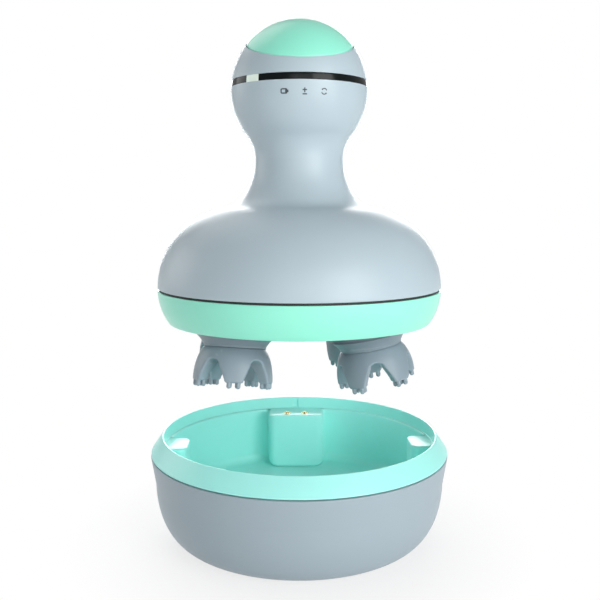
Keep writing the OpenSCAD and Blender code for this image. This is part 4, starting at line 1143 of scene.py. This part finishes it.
def turned(u, v, quarter):
    a = math.radians(90 * quarter)
    return u * math.cos(a) + v * math.sin(a), v * math.cos(a) - u * math.sin(a)


def planRing(z, wallIn=0, sideIn=0, faceIn=0):
    ring = []
    for quarter, shape in enumerate(supports["shapes"]):
        ring += [(*turned(u, v, quarter), z) for u, v, _ in quarterPlan(shape, wallIn, sideIn, faceIn)]
    return ring


def rimRing(radius, z, notched=0):
    ring = []
    for quarter, shape in enumerate(supports["shapes"]):
        for _, _, azimuth in quarterPlan(shape, 0, 0, 0):
            a = math.radians(azimuth)
            reach = radius + (notched if quarter == 0 and abs(azimuth) <= notchTurn else 0)
            ring.append((*turned(reach * math.sin(a), reach * math.cos(a), quarter), z))
    return ring


def makeBowl():
    floor, dock, rim = cradle["floorHeight"], cradle["dockHeight"], cradle["rimHeight"]
    fillet, foot, edge = cradle["floorFillet"], supports["footRound"], cradle["topEdge"]

    # How far a support draws in near the floor, where its lower corners are round
    def drawnIn(height, size):
        return 0 if height >= size else size - math.sqrt(size ** 2 - (size - height) ** 2)

    rings = []
    for a in quarterTurn(8):
        height = fillet * (1 - math.cos(a))
        rings.append(planRing(floor + height, fillet * (1 - math.sin(a)), -drawnIn(height, foot),
                              -drawnIn(height, supports["faceRound"])))
    top, low = dock - edge, floor + fillet + 0.3
    for k in range(1, 7):
        rings.append(planRing(low + (top - low) * k / 6))
    for a in quarterTurn(5)[1:]:
        shift = -edge * (1 - math.cos(a))
        rings.append(planRing(top + edge * math.sin(a), shift, shift, shift))
    recess, flange, spigotLow = cradle["recessRadius"], cradle["flangeLow"], cradle["spigotLow"]
    outer, bowlOut = cradle["radius"] - cradle["flangeInset"], cradle["bowlRadius"] + cradle["bowlWall"]
    under = floor - cradle["bowlWall"]
    rimPath = roundCorners(
        [(recess - 0.4, dock), (recess, dock, 0.25), (recess, rim, 0.3), (cradle["crestRadius"], rim, 0.25),
         (outer, rim - cradle["rimSlope"], 0.45), (outer, flange, 0.12), (cradle["spigotRadius"], flange),
         (cradle["spigotRadius"], spigotLow), (bowlOut, spigotLow), (bowlOut, under, 4), (0, under)],
        closed=False)
    start, end = (dock + up for up in supports["notchSpan"])
    notch = ((start - 0.05, 0), (start + 0.05, 1), (end - 0.05, 1), (end + 0.05, 0))
    for radius, z in rimPath:
        rings.append(rimRing(radius, z))
        if abs(radius - recess) < 1e-6 and z < dock + 1:
            rings += [rimRing(recess, height, depth * supports["notchDepth"]) for height, depth in notch]
    points, faces = loft(rings)
    faces.append(tuple(range(len(rings[0]))))
    makePiece("cradleBowl", [(points, faces)], "cradle", ["cradle_liner"])


shell = {
    "top": 33.1,
    "taper": 9.3,
    "footHeight": 22,
    "footWidth": 11.7,
    "wall": 1.9,
    "gap": 0.6,
    "edge": 0.35,
    "seat": 3,
}
socket = {
    "width": 9,
    "height": 3.3,
    "low": 5.9,
    "mouth": 50.6,
    "length": 9,
    "rim": 0.4,
    "rimRound": 0.15,
    "depth": 6,
    "tongue": (6.4, 0.7),
    "tongueSpan": (6.2, 0.8),
    "gap": 0.6,
    "cut": (6, 12),
}
socketHeight = socket["low"] + socket["height"] / 2


# Flat-sided round outline, as of the charging socket, in X and Z
def stadium(width, height, steps=8):
    radius = height / 2
    centre = width / 2 - radius
    step = 180 / steps
    return arcPath((centre, 0), radius, -90, 90, step) + arcPath((-centre, 0), radius, 90, 270, step)


def sweptBack(outline, places):
    return [[(x * scale, y, socketHeight + z * scale) for x, z in outline] for y, scale in places]


def carve(piece, cutterParts):
    cutter = addObject("cutter", meshOf("cutter", cutterParts))
    cut = piece.modifiers.new("cut", "BOOLEAN")
    cut.object = cutter
    cut.solver = "EXACT"
    bpy.context.view_layer.update()
    carved = bpy.data.meshes.new_from_object(piece.evaluated_get(bpy.context.evaluated_depsgraph_get()))
    piece.modifiers.clear()
    piece.data = carved
    bpy.data.objects.remove(cutter)
    smooth(carved)


def makeShell():
    top, wall, gap = shell["top"], shell["wall"], shell["gap"]
    slope = math.tan(math.radians(shell["taper"]))
    outer = cradle["radius"]
    joinHeight = shell["footHeight"] + gap
    centre = (outer - (top - joinHeight) * slope - shell["footWidth"], joinHeight)
    tall = shell["footHeight"] / shell["footWidth"]
    foot = arcPath(centre, shell["footWidth"], 0, -90, 2.5, tall)
    inside = arcPath(centre, shell["footWidth"] - wall, -90, 0, 6,
                     (shell["footHeight"] - wall) / (shell["footWidth"] - wall))
    outline = (
        roundCorners([(outer - wall, top, 0.2), (outer, top, shell["edge"]), foot[0]], closed=False)[:-1]
        + foot + [(0, gap), (0, gap + wall)] + inside
        + [(outer - wall, top - shell["seat"])])
    piece = makePiece("cradleShell", [spin(outline, 260)], "cradle", ["cradle_shell"])
    mouth, (inward, outward) = socket["mouth"], socket["cut"]
    opening = sweptBack(stadium(socket["width"] + socket["gap"], socket["height"] + socket["gap"]),
                        [(mouth - inward, 1), (mouth + outward, 1)])
    carve(piece, [loft(opening, capped=True)])
    piece.data.materials[0] = finish["cradle_grey"]


def makeSocket():
    mouth, back = socket["mouth"], socket["mouth"] - socket["length"]
    inner = 1 - 2 * socket["rim"] / socket["width"]
    rings = sweptBack(stadium(socket["width"], socket["height"]), [
        (back, 1), (mouth - socket["rimRound"], 1), (mouth, 0.985), (mouth, inner + 0.02),
        (mouth - 0.2, inner), (mouth - socket["depth"], inner)])
    wide, high = (size / 2 for size in socket["tongue"])
    corners = [(x * wide, socketHeight + z * high) for x, z in ((-1, -1), (1, -1), (1, 1), (-1, 1))]
    tongue = [[(x, mouth - y, z) for x, z in corners] for y in socket["tongueSpan"]]
    makePiece("chargingInlet", [loft(rings, capped=True), loft(tongue, capped=True)], "cradle",
              ["charging_socket"])


contacts = {
    "gap": 7.8,
    "y": 42.05,
    "sleeveRadius": 1.7,
    "sleeveLow": 6,
    "sleeveUp": 0.22,
    "sleeveRound": 0.15,
    "mouth": 0.35,
    "slip": 0.08,
    "pinRadius": 0.9,
    "pinUp": 0.9,
    "pinDown": 3.7,
    "pinTip": 0.8,
}


def makeContacts():
    dock, radius, pin = cradle["dockHeight"], contacts["sleeveRadius"], contacts["pinRadius"]
    low, high = dock - contacts["sleeveLow"], dock + contacts["sleeveUp"]
    bore, mouth = pin + contacts["slip"], pin + contacts["mouth"]
    sleeve = spin(roundCorners([(bore, low), (radius, low), (radius, high, contacts["sleeveRound"]),
                                (mouth, high, 0.1), (bore, dock - 0.2)]), 40)
    tip, end = dock + contacts["pinUp"], dock - contacts["pinDown"]
    pinPart = spin([(0, end), (pin, end)] + [
        (pin * math.cos(a), tip - pin * contacts["pinTip"] * (1 - math.sin(a))) for a in quarterTurn(6)], 32)
    places = {"left": -contacts["gap"] / 2, "right": contacts["gap"] / 2}
    for name, x in places.items():
        makePiece("contactPin" + name.capitalize(), [shifted(pinPart, x, contacts["y"])], "pin_" + name,
                  ["contact_pin_" + name])
    sleeves = [shifted(sleeve, x, contacts["y"]) for x in places.values()]
    makePiece("contactRings", sleeves, "cradle", ["contact_sleeves"])


makeBowl()
makeShell()
makeSocket()
makeContacts()
print("cradle made")
